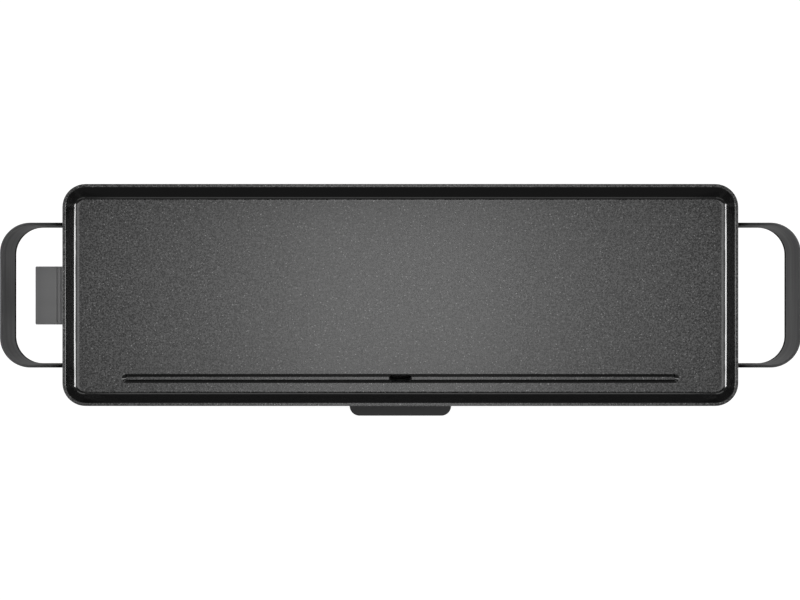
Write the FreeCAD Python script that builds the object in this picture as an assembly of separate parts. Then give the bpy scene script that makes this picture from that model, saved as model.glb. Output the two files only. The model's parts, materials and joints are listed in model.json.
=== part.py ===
import FreeCAD, Part
import math
import os
from collections import namedtuple

# Electric table grill: a long cast griddle plate on a pressed-steel base, with a strip handle
# at each end, a plug-in heat controller at the left end and a drip drawer at the front.
# Sizes are in millimetres. X runs along the plate, Y towards the back, Z up from the table.

Vec = FreeCAD.Vector
Screw = namedtuple("Screw", "head_radius head_height shank_radius")

# Griddle plate
plate_length = 700.0
plate_width = 230.0
plate_corner_radius = 24.0
rim_top = 96.0
rim_width = 3.2
rim_edge_radius = 0.5
lip_depth = 8.0
lip_overhang = 5.5
pan_depth = 11.0
pan_end_draft = 31.5
pan_front_draft = 38.8
pan_back_draft = 43.5
pan_foot_radius = 8.0
pan_floor_fillet = 6.0
floor_thickness = 6.0
groove_length = 585.0
groove_width = 9.4
groove_bottom_width = 2.8
groove_depth = 3.0
groove_lip_radius = 0.8
groove_from_front = 27.4
drain_length = 24.2
drain_width = 7.3

# Base pan and its feet
base_underside = 16.0
base_sheet = 1.0
base_setback = 2.5
base_bottom_radius = 6.0
foot_from_end = 28.0
foot_from_side = 27.0
foot_top_radius = 15.0
foot_bottom_radius = 12.0
pad_radius = 10.8
pad_edge_radius = 1.5
pad_seat_height = 6.0
pad_rim_height = 4.0
pillar_radius = 5.0
corner_boss_radius = 6.0
corner_boss_depth = 9.0
vent_length = 28.0
vent_width = 3.6
vent_pitch = 44.0
wall_vent_count = 13
wall_vent_below_rim = 26.0
floor_vent_rows = 3

# Strip handles
handle_beyond_plate = 69.3
handle_span = 151.8
handle_strip = 2.5
handle_height = 28.4
handle_corner_radius = 31.8
handle_bend_radius = 5.0
handle_flange_length = 22.0
handle_edge_radius = 0.5
handle_below_lip = 0.4
handle_screw_spacing = 10.0

# Heating element below the plate
element_radius = 4.0
element_pass_margin = 45.0
element_right_margin = 70.0
element_left_margin = 104.0
element_lead_margin = 54.0
element_drop_margin = 28.0
element_bend_radius = 14.0
element_drop_radius = 10.0
clamp_columns = 4
clamp_end_margin = 130.0
clamp_width = 14.0
clamp_thickness = 1.5
clamp_overlap = 6.0
clamp_boss_radius = 4.5
touch_gap = 0.05

# Heat shield
shield_end_margin = 40.0
shield_side_beyond_pass = 9.0
shield_sheet = 1.0
shield_depth = 9.0
shield_below_plate = 18.0
shield_corner_radius = 10.0
shield_notch_half_width = 24.0
shield_boss_radius = 5.0
shield_thread_stop = 6.0
shield_screw_spare = 2.0

# Drain spout
spout_wall = 1.5
spout_length = 23.0
spout_flange_length = 50.0
spout_flange_width = 14.0
spout_flange_thickness = 1.5
spout_boss_depth = 8.0
spout_screw_spacing = 39.0

# Drip drawer
tray_width = 104.0
tray_length = 150.0
tray_depth = 24.0
tray_wall = 1.0
tray_corner_radius = 8.0
tray_floor_radius = 5.0
tray_flange = 5.0
tray_above_base = 2.5
runner_wall = 1.2
runner_clearance = 0.4
runner_rear_margin = 2.5
runner_foot = 11.0
front_thickness = 2.6
front_side_cover = 4.0
front_height = 30.0
front_corner_radius = 3.0
front_gap = 0.3
pull_width = 113.0
pull_beyond_plate = 18.6
pull_corner_radius = 11.0
pull_thickness = 3.2
pull_lip_height = 7.0
pull_wall = 2.4
pull_below_tray_top = 3.5
pull_edge_radius = 0.6
drawer_screw_spacing = 70.0

# Heat controller and its socket
controller_beyond_plate = 47.0
controller_width = 63.4
controller_height = 36.0
controller_below_handle = 1.2
controller_body_length = 23.9
controller_wall = 2.0
controller_corner_radius = 1.8
controller_edge_radius = 0.6
collar_thickness = 3.7
collar_groove = 0.7
collar_groove_depth = 0.8
collar_chamfer = 0.9
socket_gap = 0.5
guard_wall = 4.0
nose_length = 16.0
nose_clearance = 0.4
nose_wall = 1.8
pin_below_top = 10.0
pin_radius = 2.5
pin_spacing = 28.0
pin_reach = 16.0
sleeve_radius = 3.2
plug_clearance = 0.3
probe_radius = 3.0
probe_clearance = 0.35
probe_reach = 68.0
rib_half_width = 7.0
rib_below_bore = 3.2
rib_end_gap = 4.0
insulator_radius = 3.8

# Heat dial
dial_radius = 13.5
dial_depth = 7.0
dial_clearance = 0.5
dial_off_centre = 9.0
dial_rim = 3.0
dial_bar_width = 5.0
dial_dish_depth = 4.0
well_depth = 8.0
well_wall = 1.5
spindle_radius = 2.5
spindle_clearance = 0.06
clip_thickness = 0.8
switch_half_width = 12.0
switch_half_height = 10.0
small_fittings_offset = 20.0
lamp_above_centre = 9.0
lamp_radius = 2.2
gland_below_centre = 7.0
gland_radius = 5.0
gland_bore_radius = 3.4
gland_length = 9.4
fitting_recess = 0.1

# Screws, rivets and their holes
small_screw = Screw(2.9, 2.2, 1.5)
case_screw = Screw(2.4, 1.8, 1.25)
handle_screw = Screw(4.2, 2.4, 2.0)
foot_screw = Screw(4.4, 3.5, 2.0)
thread_clearance = 0.05
hole_clearance = 0.25
nut_half_flats = 3.5
nut_thickness = 2.5

# Levels and half sizes that follow from the sizes above
half_length = plate_length / 2
half_width = plate_width / 2
floor_top = rim_top - pan_depth
plate_underside = floor_top - floor_thickness
lip_underside = rim_top - lip_depth
body_half_length = half_length - lip_overhang
body_half_width = half_width - lip_overhang
groove_y = groove_from_front - half_width
base_half_length = half_length - base_setback
base_half_width = half_width - base_setback
base_corner_radius = plate_corner_radius - base_setback
base_floor_top = base_underside + base_sheet
base_front_inside = base_sheet - base_half_width
foot_x = half_length - foot_from_end
foot_y = half_width - foot_from_side
handle_top = lip_underside - handle_below_lip
handle_bottom = handle_top - handle_height
handle_reach = half_length + handle_beyond_plate
handle_screw_length = handle_strip + base_sheet + nut_thickness + 1
outer_pass_y = half_width - element_pass_margin
inner_pass_y = outer_pass_y / 3
clamp_row_y = (outer_pass_y + inner_pass_y) / 2
element_z = plate_underside - element_radius - touch_gap
shield_bottom = plate_underside - shield_below_plate
tray_bottom = base_floor_top + tray_above_base
tray_top = tray_bottom + tray_depth
tray_front = -base_half_width - front_gap
tray_back = tray_front + tray_length
tray_half_flange = tray_width / 2 + tray_flange
pull_top = tray_top - pull_below_tray_top
pull_front = -half_width - pull_beyond_plate
controller_top = handle_bottom - controller_below_handle
controller_bottom = controller_top - controller_height
controller_middle = controller_top - controller_height / 2
controller_end = -half_length - controller_beyond_plate
collar_start = controller_end + controller_body_length
collar_end = collar_start + collar_thickness
nose_end = collar_end + nose_length
plug_reach = collar_thickness + nose_length + 1
guard_start = collar_end + socket_gap
guard_back = -base_half_length - guard_wall
pin_z = controller_top - pin_below_top
pin_y = pin_spacing / 2
dial_y = -dial_off_centre
well_radius = dial_radius + dial_clearance
well_floor = controller_end + well_depth


def box(x0, x1, y0, y1, z0, z1):
    """A block between two corners."""
    return Part.makeBox(x1 - x0, y1 - y0, z1 - z0, Vec(x0, y0, z0))


def rod(radius, start, end):
    """A round bar from one point to another."""
    direction = end - start
    return Part.makeCylinder(radius, direction.Length, start, direction)


def rounded_wire(half_x, half_y, radius, z, centre=(0.0, 0.0)):
    """A rectangle with round corners, flat at the height z."""
    cx, cy = centre
    bend = radius * math.sqrt(0.5)
    edges = []
    for sx, sy in [(1, 1), (-1, 1), (-1, -1), (1, -1)]:
        ax = cx + sx * (half_x - radius)
        ay = cy + sy * (half_y - radius)
        along_x = Vec(ax + sx * radius, ay, z)
        along_y = Vec(ax, ay + sy * radius, z)
        middle = Vec(ax + sx * bend, ay + sy * bend, z)
        first, last = (along_x, along_y) if sx == sy else (along_y, along_x)
        if edges:
            edges.append(Part.makeLine(edges[-1].Vertexes[-1].Point, first))
        edges.append(Part.Arc(first, middle, last).toShape())
    edges.append(Part.makeLine(edges[-1].Vertexes[-1].Point, edges[0].Vertexes[0].Point))
    return Part.Wire(edges)


def stadium_wire(half_x, half_y, z, centre=(0.0, 0.0)):
    """A slot outline with fully round ends, long along X."""
    cx, cy = centre
    straight = half_x - half_y
    right_top = Vec(cx + straight, cy + half_y, z)
    left_top = Vec(cx - straight, cy + half_y, z)
    left_bottom = Vec(cx - straight, cy - half_y, z)
    right_bottom = Vec(cx + straight, cy - half_y, z)
    edges = [
        Part.makeLine(right_top, left_top),
        Part.Arc(left_top, Vec(cx - half_x, cy, z), left_bottom).toShape(),
        Part.makeLine(left_bottom, right_bottom),
        Part.Arc(right_bottom, Vec(cx + half_x, cy, z), right_top).toShape(),
    ]
    return Part.Wire(edges)


def raised(wire, height):
    """The solid above a flat closed wire."""
    return Part.Face(wire).extrude(Vec(0, 0, height))


def rounded_block(half_x, half_y, radius, z0, z1, centre=(0.0, 0.0)):
    """A block with round upright corners."""
    return raised(rounded_wire(half_x, half_y, radius, z0, centre), z1 - z0)


def stadium(half_x, half_y, z0, z1, centre=(0.0, 0.0)):
    """A block with fully round ends, long along X."""
    return raised(stadium_wire(half_x, half_y, z0, centre), z1 - z0)


def rounded_along_x(half_y, half_z, radius, x0, x1, centre):
    """A block with round edges that run along X, centred on (y, z)."""
    cy, cz = centre
    block = rounded_block(half_z, half_y, radius, 0, x1 - x0)
    block.rotate(Vec(0, 0, 0), Vec(0, 1, 0), 90)
    block.translate(Vec(x0, cy, cz))
    return block


def softened(shape, radius, wanted):
    """The shape with a fillet on each edge whose middle passes the test."""
    edges = [e for e in shape.Edges if wanted(e.CenterOfMass)]
    return shape.makeFillet(radius, edges)


def at_height(z):
    """A test for edges that lie at one height."""
    return lambda point: abs(point.z - z) < 1e-3


def bent_path(points, radii):
    """A wire through corner points, each inner corner turned by a tangent arc."""
    edges = []
    start = points[0]
    for before, corner, after, radius in zip(points, points[1:], points[2:], radii):
        back = (before - corner).normalize()
        onward = (after - corner).normalize()
        half_angle = back.getAngle(onward) / 2
        reach = radius / math.tan(half_angle)
        first = corner + back * reach
        last = corner + onward * reach
        bisector = (back + onward).normalize()
        middle = corner + bisector * (radius / math.sin(half_angle) - radius)
        edges.append(Part.makeLine(start, first))
        edges.append(Part.Arc(first, middle, last).toShape())
        start = last
    edges.append(Part.makeLine(start, points[-1]))
    return Part.Wire(edges)


def mirrored(shape, normal):
    """The shape reflected through the plate's middle."""
    return shape.mirror(Vec(0, 0, 0), normal)


def screw(kind, seat, direction, length):
    """A pan-head screw whose head bears on its seat, with its shank along the direction."""
    head = Part.makeCylinder(kind.head_radius, kind.head_height, Vec(0, 0, -kind.head_height))
    head = softened(head, kind.head_height * 0.35, at_height(-kind.head_height))
    arm = kind.head_radius * 0.55
    blade = kind.head_radius * 0.11
    depth = kind.head_height * 0.5
    for wide, deep in ((arm, blade), (blade, arm)):
        head = head.cut(box(-wide, wide, -deep, deep, -kind.head_height, depth - kind.head_height))
    whole = head.fuse(Part.makeCylinder(kind.shank_radius, length)).removeSplitter()
    whole.Placement = FreeCAD.Placement(seat, FreeCAD.Rotation(Vec(0, 0, 1), direction))
    return whole


def corners(x, y):
    """The four points at plus and minus x and y."""
    return [(sx * x, sy * y) for sx in (-1, 1) for sy in (-1, 1)]


def evenly(first, last, count):
    """Evenly spaced values from first to last."""
    return [first + (last - first) * i / (count - 1) for i in range(count)]


def clamp_places():
    """Centres of the element straps, one row between each outer and inner pass."""
    reach = half_length - clamp_end_margin
    return [(x, y) for x in evenly(-reach, reach, clamp_columns) for y in (-clamp_row_y, clamp_row_y)]


def shield_places():
    """Centres of the shield's screws, half way between the straps."""
    step = 2 * (half_length - clamp_end_margin) / (clamp_columns - 1)
    return corners(step, clamp_row_y)


# Griddle plate: rim, body, pan, groove, drain hole and the cast bosses below


def pan_cavity():
    """The hollow of the pan: sloping walls, each with its own draft, and a round foot and corners."""
    inner_half_x = half_length - rim_width
    inner_half_y = half_width - rim_width
    inner_radius = plate_corner_radius - rim_width
    end_spread = pan_depth * math.tan(math.radians(pan_end_draft))
    front_spread = pan_depth * math.tan(math.radians(pan_front_draft))
    back_spread = pan_depth * math.tan(math.radians(pan_back_draft))
    foot_half_x = inner_half_x - end_spread
    foot_half_y = inner_half_y - (front_spread + back_spread) / 2
    foot_centre = (0.0, (front_spread - back_spread) / 2)
    top = rounded_wire(inner_half_x, inner_half_y, inner_radius, rim_top)
    foot = rounded_wire(foot_half_x, foot_half_y, pan_foot_radius, floor_top, foot_centre)
    tapered = Part.makeLoft([foot, top], True, True)
    return softened(tapered, pan_floor_fillet, at_height(floor_top))


def drain_groove():
    """The groove's tapered slot, cut down from the pan's floor."""
    slope = (groove_width - groove_bottom_width) / 2
    centre = (0.0, groove_y)
    top = stadium_wire(groove_length / 2, groove_width / 2, floor_top, centre)
    foot = stadium_wire(groove_length / 2 - slope, groove_bottom_width / 2, floor_top - groove_depth, centre)
    return Part.makeLoft([foot, top], True, True)


def probe_rib():
    """The cast rib that carries the probe's bore under the plate."""
    start = rib_end_gap - base_half_length + base_sheet
    end = start + probe_reach - 2 * rib_end_gap
    bottom = pin_z - probe_radius - probe_clearance - rib_below_bore
    block = box(start, end, -rib_half_width, rib_half_width, bottom, plate_underside)
    block = softened(block, rib_below_bore * 0.8, at_height(bottom))
    bore_end = end - 2 * rib_end_gap
    return block.cut(rod(probe_radius + probe_clearance, Vec(start - 1, 0, pin_z), Vec(bore_end, 0, pin_z)))


def griddle_plate():
    lip = rounded_block(half_length, half_width, plate_corner_radius, lip_underside, rim_top)
    body_radius = plate_corner_radius - lip_overhang
    body = rounded_block(body_half_length, body_half_width, body_radius, plate_underside, lip_underside)
    plate = lip.fuse(body).cut(pan_cavity()).removeSplitter()
    plate = softened(plate, rim_edge_radius, at_height(rim_top))
    plate = plate.cut(drain_groove())
    groove_reach = groove_length / 2 + 1

    def on_groove_lip(point):
        beside = abs(point.y - groove_y) <= groove_width / 2 + 0.1
        return abs(point.z - floor_top) < 1e-3 and beside and abs(point.x) < groove_reach

    plate = softened(plate, groove_lip_radius, on_groove_lip)
    additions = [probe_rib()]
    for x, y in corners(foot_x, foot_y):
        bottom = plate_underside - corner_boss_depth
        additions.append(rod(corner_boss_radius, Vec(x, y, bottom), Vec(x, y, plate_underside)))
    for x, y in clamp_places():
        bottom = element_z - element_radius
        additions.append(rod(clamp_boss_radius, Vec(x, y, bottom), Vec(x, y, plate_underside)))
    for x, y in shield_places():
        bottom = shield_bottom + shield_sheet
        additions.append(rod(shield_boss_radius, Vec(x, y, bottom), Vec(x, y, plate_underside)))
    boss_bottom = plate_underside - spout_boss_depth
    flange = (spout_flange_length / 2, spout_flange_width / 2)
    additions.append(stadium(*flange, boss_bottom, plate_underside, (0.0, groove_y)))
    plate = plate.fuse(additions)
    holes = [stadium(drain_length / 2, drain_width / 2, boss_bottom - 1, rim_top, (0.0, groove_y))]
    for x, y in corners(foot_x, foot_y):
        start = Vec(x, y, plate_underside - corner_boss_depth - 1)
        holes.append(rod(foot_screw.shank_radius + thread_clearance, start, Vec(x, y, plate_underside - 1)))
    thread_radius = small_screw.shank_radius + thread_clearance
    for x, y in clamp_places():
        start = Vec(x, y, element_z - element_radius - 1)
        holes.append(rod(thread_radius, start, Vec(x, y, plate_underside - 1)))
    for x, y in shield_places():
        end = Vec(x, y, plate_underside - shield_thread_stop)
        holes.append(rod(thread_radius, Vec(x, y, shield_bottom), end))
    for side in (-1, 1):
        x = side * spout_screw_spacing / 2
        start = Vec(x, groove_y, boss_bottom - 1)
        holes.append(rod(thread_radius, start, Vec(x, groove_y, plate_underside - 1)))
    return plate.cut(holes).removeSplitter()


# Heating element with its pins, seals, straps and shield


def element_end_x():
    """Where the sheathed tube stops, short of the base's end wall."""
    return 2 * base_sheet + rib_end_gap - base_half_length


def heating_element():
    """One tube bent into four passes, with both ends dropped to the socket's height."""
    right = half_length - element_right_margin + inner_pass_y
    left = element_left_margin - half_length - inner_pass_y
    lead = element_lead_margin - half_length
    drop = element_drop_margin - half_length
    turn = (outer_pass_y - inner_pass_y) / 2
    z = element_z
    half = [
        Vec(element_end_x(), pin_y, pin_z),
        Vec(drop, pin_y, pin_z),
        Vec(drop, pin_y, z),
        Vec(lead, pin_y, z),
        Vec(lead, outer_pass_y, z),
        Vec(right, outer_pass_y, z),
        Vec(right, inner_pass_y, z),
        Vec(left, inner_pass_y, z),
    ]
    other_half = [Vec(p.x, -p.y, p.z) for p in reversed(half)]
    bends = [element_drop_radius] * 2 + [element_bend_radius] * 2 + [turn * 0.999] * 2
    radii = bends + [inner_pass_y * 0.999] * 2 + bends[::-1]
    path = bent_path(half + other_half, radii)
    profile = Part.Wire(Part.makeCircle(element_radius, half[0], Vec(1, 0, 0)))
    return path.makePipeShell([profile], True, False)


def terminal_pins():
    pins = []
    for y in (-pin_y, pin_y):
        pin = rod(pin_radius, Vec(guard_back - pin_reach, y, pin_z), Vec(element_end_x(), y, pin_z))
        tip = guard_back - pin_reach
        pins.append(softened(pin, pin_radius * 0.5, lambda point: abs(point.x - tip) < 1e-3))
    return Part.makeCompound(pins)


def pin_insulators():
    seals = []
    start = -base_half_length
    for y in (-pin_y, pin_y):
        seal = rod(insulator_radius, Vec(start, y, pin_z), Vec(element_end_x(), y, pin_z))
        bore = rod(pin_radius + thread_clearance, Vec(start - 1, y, pin_z), Vec(0, y, pin_z))
        seals.append(seal.cut(bore))
    return Part.makeCompound(seals)


def element_clamps():
    straps = []
    top = element_z - element_radius - touch_gap
    half_span = (outer_pass_y - inner_pass_y) / 2 + clamp_overlap
    for x, y in clamp_places():
        block = rounded_block(clamp_width / 2, half_span, 3, top - clamp_thickness, top, (x, y))
        hole = rod(small_screw.shank_radius + hole_clearance, Vec(x, y, top - 5), Vec(x, y, top + 1))
        straps.append(block.cut(hole))
    return Part.makeCompound(straps)


def clamp_screws():
    seat = element_z - element_radius - touch_gap - clamp_thickness
    up = Vec(0, 0, 1)
    length = plate_underside - seat - 1.6
    return Part.makeCompound([screw(small_screw, Vec(x, y, seat), up, length) for x, y in clamp_places()])


def heat_shield():
    half_x = half_length - shield_end_margin
    half_y = outer_pass_y + shield_side_beyond_pass
    top = shield_bottom + shield_depth
    radius = shield_corner_radius
    shield = rounded_block(half_x, half_y, radius, shield_bottom, top)
    inner = (half_x - shield_sheet, half_y - shield_sheet, radius - shield_sheet)
    shield = shield.cut(rounded_block(*inner, shield_bottom + shield_sheet, top + 1))
    notch_end = element_left_margin - half_length - inner_pass_y
    notch = box(-half_x - 1, notch_end, -shield_notch_half_width, shield_notch_half_width, 0, rim_top)
    shield = shield.cut(notch)
    for x, y in shield_places():
        hole = rod(small_screw.shank_radius + hole_clearance, Vec(x, y, 0), Vec(x, y, top))
        shield = shield.cut(hole)
    return shield


def shield_screws():
    up = Vec(0, 0, 1)
    length = shield_below_plate - shield_thread_stop - shield_screw_spare
    return Part.makeCompound(
        [screw(small_screw, Vec(x, y, shield_bottom), up, length) for x, y in shield_places()]
    )


# Drain spout


def drain_spout():
    top = plate_underside - spout_boss_depth
    centre = (0.0, groove_y)
    flange_size = (spout_flange_length / 2, spout_flange_width / 2)
    flange = stadium(*flange_size, top - spout_flange_thickness, top, centre)
    tube_half = (drain_length / 2 + spout_wall, drain_width / 2 + spout_wall)
    tube = stadium(*tube_half, top - spout_length, top, centre)
    bore = stadium(drain_length / 2, drain_width / 2, top - spout_length - 1, top + 1, centre)
    spout = flange.fuse(tube).cut(bore)
    for side in (-1, 1):
        x = side * spout_screw_spacing / 2
        hole = rod(small_screw.shank_radius + hole_clearance, Vec(x, groove_y, 0), Vec(x, groove_y, top + 1))
        spout = spout.cut(hole)
    return spout.removeSplitter()


def spout_screws():
    seat = plate_underside - spout_boss_depth - spout_flange_thickness
    return Part.makeCompound(
        [
            screw(small_screw, Vec(side * spout_screw_spacing / 2, groove_y, seat), Vec(0, 0, 1), 8)
            for side in (-1, 1)
        ]
    )


# Base pan, pillars, feet and their bolts


def drawer_slot():
    """The opening that the drawer passes, through the base's front wall."""
    half_x = tray_half_flange + runner_clearance + 0.2
    low = tray_bottom - runner_clearance
    high = tray_top + runner_clearance + 0.4
    return box(-half_x, half_x, -half_width, base_front_inside + 1, low, high)


def socket_hole():
    """The opening behind the socket, for the pins and the probe."""
    half_y = pin_y + insulator_radius + 2
    half_z = insulator_radius + 2.5
    return rounded_along_x(half_y, half_z, 3, -half_length, -base_half_length + 5, (0.0, pin_z))


def upright_slot(x, y):
    """One cooling slot in the back wall."""
    z = rim_top - wall_vent_below_rim
    slot = stadium(vent_length / 2, vent_width / 2, -5, 5)
    slot.rotate(Vec(0, 0, 0), Vec(1, 0, 0), 90)
    slot.translate(Vec(x, y, z))
    return slot


def cooling_slots():
    """Slots in the base's back wall and in its floor, clear of the drawer and feet."""
    slots = []
    reach = vent_pitch * (wall_vent_count - 1) / 2
    for x in evenly(-reach, reach, wall_vent_count):
        slots.append(upright_slot(x, base_half_width))
    for column in (2.5, 3.5, 4.5, 5.5):
        for side in (-1, 1):
            for row in range(floor_vent_rows):
                y = (row - (floor_vent_rows - 1) / 2) * vent_pitch
                centre = (side * column * vent_pitch, y)
                slots.append(stadium(vent_length / 2, vent_width / 2, 0, base_floor_top + 1, centre))
    return slots


def base_pan():
    size = (base_half_length, base_half_width, base_corner_radius)
    pan = rounded_block(*size, base_underside, lip_underside)
    pan = softened(pan, base_bottom_radius, at_height(base_underside))
    inside = rounded_block(*[value - base_sheet for value in size], base_floor_top, lip_underside + 1)
    inside = softened(inside, base_bottom_radius - base_sheet, at_height(base_floor_top))
    cuts = [inside, drawer_slot(), socket_hole(), earth_slot()] + cooling_slots()
    for x, y in corners(foot_x, foot_y):
        top = Vec(x, y, base_floor_top + 1)
        cuts.append(rod(foot_screw.shank_radius + hole_clearance, Vec(x, y, 0), top))
    for x, y in rivet_places():
        top = Vec(x, y, base_floor_top + 1)
        cuts.append(rod(small_screw.shank_radius + thread_clearance, Vec(x, y, 0), top))
    for point in guard_screw_places():
        start = point - Vec(2, 0, 0)
        cuts.append(rod(small_screw.shank_radius + hole_clearance, start, point + Vec(5, 0, 0)))
    for seat in handle_screw_seats():
        for side in (-1, 1):
            start = Vec(side * seat.x, seat.y, seat.z)
            end = Vec(side * (seat.x - handle_screw_length), seat.y, seat.z)
            cuts.append(rod(handle_screw.shank_radius + hole_clearance, start, end))
    return pan.cut(cuts).removeSplitter()


def support_pillars():
    pillars = []
    top = plate_underside - corner_boss_depth
    for x, y in corners(foot_x, foot_y):
        pillar = rod(pillar_radius, Vec(x, y, base_floor_top), Vec(x, y, top))
        bore = rod(foot_screw.shank_radius + hole_clearance, Vec(x, y, 0), Vec(x, y, top + 1))
        pillars.append(pillar.cut(bore))
    return Part.makeCompound(pillars)


def bolt_seat_height():
    """Where the foot's bolt head bears, inside the foot."""
    return pad_seat_height + foot_screw.head_height + 1.3


def foot(x, y):
    """One moulded foot: a cone with a seat for its pad and a well for the bolt's head."""
    height = base_underside - pad_rim_height
    start = Vec(x, y, pad_rim_height)
    cone = Part.makeCone(foot_bottom_radius, foot_top_radius, height, start)
    cone = softened(cone, 0.8, at_height(pad_rim_height))
    seat = rod(pad_radius + 0.2, Vec(x, y, 0), Vec(x, y, pad_seat_height))
    well = rod(foot_screw.head_radius + 0.6, Vec(x, y, 0), Vec(x, y, bolt_seat_height()))
    hole = rod(foot_screw.shank_radius + hole_clearance, Vec(x, y, 0), Vec(x, y, base_underside + 1))
    return cone.cut([seat, well, hole])


def foot_pad(x, y):
    """A rubber disc pushed into the foot's seat, standing on the table."""
    pad = rod(pad_radius, Vec(x, y, 0), Vec(x, y, pad_seat_height))
    return softened(pad, pad_edge_radius, at_height(0))


def foot_bolts():
    seat = bolt_seat_height()
    length = plate_underside - 2 - seat
    return Part.makeCompound(
        [screw(foot_screw, Vec(x, y, seat), Vec(0, 0, 1), length) for x, y in corners(foot_x, foot_y)]
    )


# Strip handles with their screws and nuts


def handle_screw_seats():
    """Outer seats of the right handle's screws, on its two flanges."""
    x = base_half_length + handle_strip
    y = handle_span / 2 - handle_strip - handle_flange_length / 2 - 1
    middle = handle_bottom + handle_height / 2 - 5
    heights = (middle - handle_screw_spacing / 2, middle + handle_screw_spacing / 2)
    return [Vec(x, side * y, z) for side in (-1, 1) for z in heights]


def right_handle():
    """A flat strip on edge, bent into a loop, with a flange at each end for two screws."""
    inner = handle_strip / 2
    arm_y = handle_span / 2 - inner
    flange_x = base_half_length + inner
    grip_x = handle_reach - inner
    flange_end = arm_y - inner - handle_flange_length
    z = handle_bottom
    points = [
        Vec(flange_x, -flange_end, z),
        Vec(flange_x, -arm_y, z),
        Vec(grip_x, -arm_y, z),
        Vec(grip_x, arm_y, z),
        Vec(flange_x, arm_y, z),
        Vec(flange_x, flange_end, z),
    ]
    corner = handle_corner_radius - inner
    path = bent_path(points, [handle_bend_radius, corner, corner, handle_bend_radius])
    low = Vec(flange_x - inner, -flange_end, z)
    profile = Part.makePolygon(
        [
            low,
            low + Vec(handle_strip, 0, 0),
            low + Vec(handle_strip, 0, handle_height),
            low + Vec(0, 0, handle_height),
            low,
        ]
    )
    strip = path.makePipeShell([profile], True, False)

    def long_edge(point):
        level = min(abs(point.z - handle_bottom), abs(point.z - handle_top))
        return level < 1e-3 and abs(abs(point.y) - flange_end) > 1e-3

    strip = softened(strip, handle_edge_radius, long_edge)
    for seat in handle_screw_seats():
        start = seat + Vec(1, 0, 0)
        end = seat - Vec(handle_screw_length, 0, 0)
        strip = strip.cut(rod(handle_screw.shank_radius + hole_clearance, start, end))
    return strip


def handle_screws():
    inward = Vec(-1, 0, 0)
    right = [screw(handle_screw, seat, inward, handle_screw_length) for seat in handle_screw_seats()]
    left = [mirrored(one, Vec(1, 0, 0)) for one in right]
    return Part.makeCompound(left + right)


def handle_nuts():
    outer = nut_half_flats / math.cos(math.pi / 6)
    nuts = []
    for seat in handle_screw_seats():
        face_x = base_half_length - base_sheet
        rim = [
            Vec(face_x, seat.y + outer * math.sin(turn), seat.z + outer * math.cos(turn))
            for turn in [math.pi / 6 + math.pi / 3 * i for i in range(7)]
        ]
        nut = Part.Face(Part.makePolygon(rim)).extrude(Vec(-nut_thickness, 0, 0))
        end = seat - Vec(handle_screw_length, 0, 0)
        nuts.append(nut.cut(rod(handle_screw.shank_radius + thread_clearance, seat, end)))
    return Part.makeCompound(nuts + [mirrored(nut, Vec(1, 0, 0)) for nut in nuts])


# Drip drawer and its runners


def rivet_places():
    """Rivets through the runners' feet into the base's floor."""
    x = tray_half_flange + runner_clearance + runner_wall + runner_foot / 2
    rows = (tray_front + tray_length * 0.2, tray_back - tray_length * 0.1)
    return [(side * x, y) for side in (-1, 1) for y in rows]


def right_runner():
    """A rail of constant section: foot, web, the shelf that the drawer slides on and a top lip."""
    front = base_front_inside + base_bottom_radius
    back = tray_back + runner_rear_margin
    web_x = tray_half_flange + runner_clearance
    shelf_x = tray_width / 2 + runner_clearance + 0.1
    shelf_top = tray_top - tray_wall - front_gap
    lip_bottom = tray_top + runner_clearance
    lip_top = lip_bottom + runner_wall
    rail = box(web_x, web_x + runner_wall, front, back, base_floor_top, lip_top)
    shelf = box(shelf_x, web_x, front, back, shelf_top - runner_wall, shelf_top)
    lip = box(shelf_x, web_x, front, back, lip_bottom, lip_top)
    foot_end = web_x + runner_wall + runner_foot
    floor_strip = box(web_x, foot_end, front, back, base_floor_top, base_floor_top + runner_wall)
    stop = box(shelf_x, web_x, tray_back + front_gap, back, shelf_top, lip_bottom)
    rail = rail.fuse([shelf, lip, floor_strip, stop])
    for x, y in rivet_places():
        top = Vec(x, y, base_floor_top + runner_wall + 1)
        rail = rail.cut(rod(small_screw.shank_radius + thread_clearance, Vec(x, y, 0), top))
    return rail.removeSplitter()


def runner_rivets():
    rivets = []
    radius = small_screw.shank_radius
    for x, y in rivet_places():
        top = base_floor_top + runner_wall
        shank = rod(radius, Vec(x, y, base_underside - 0.8), Vec(x, y, top + 1))
        head = softened(rod(radius * 2, Vec(x, y, top), Vec(x, y, top + 1.2)), 0.8, at_height(top + 1.2))
        tail = rod(radius * 1.7, Vec(x, y, base_underside - 0.8), Vec(x, y, base_underside))
        rivets.append(shank.fuse([head, tail]).removeSplitter())
    return Part.makeCompound(rivets)


def drawer_screw_places():
    """Seats of the screws that hold the front to the tray, on the tray's inner face."""
    z = tray_bottom + tray_depth / 2
    return [Vec(side * drawer_screw_spacing / 2, tray_front + tray_wall, z) for side in (-1, 1)]


def drip_tray():
    centre = (0.0, (tray_front + tray_back) / 2)
    half = (tray_width / 2, tray_length / 2)
    tray = rounded_block(*half, tray_corner_radius, tray_bottom, tray_top, centre)
    tray = softened(tray, tray_floor_radius, at_height(tray_bottom))
    flange_half = (tray_half_flange, tray_length / 2)
    tray = tray.fuse(rounded_block(*flange_half, 3, tray_top - tray_wall, tray_top, centre))
    inner = [value - tray_wall for value in (*half, tray_corner_radius)]
    hollow = rounded_block(*inner, tray_bottom + tray_wall, tray_top + 1, centre)
    hollow = softened(hollow, tray_floor_radius - tray_wall, at_height(tray_bottom + tray_wall))
    tray = tray.cut(hollow)
    for seat in drawer_screw_places():
        end = seat - Vec(0, 10, 0)
        tray = tray.cut(rod(small_screw.shank_radius + hole_clearance, seat + Vec(0, 1, 0), end))
    return tray.removeSplitter()


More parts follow.
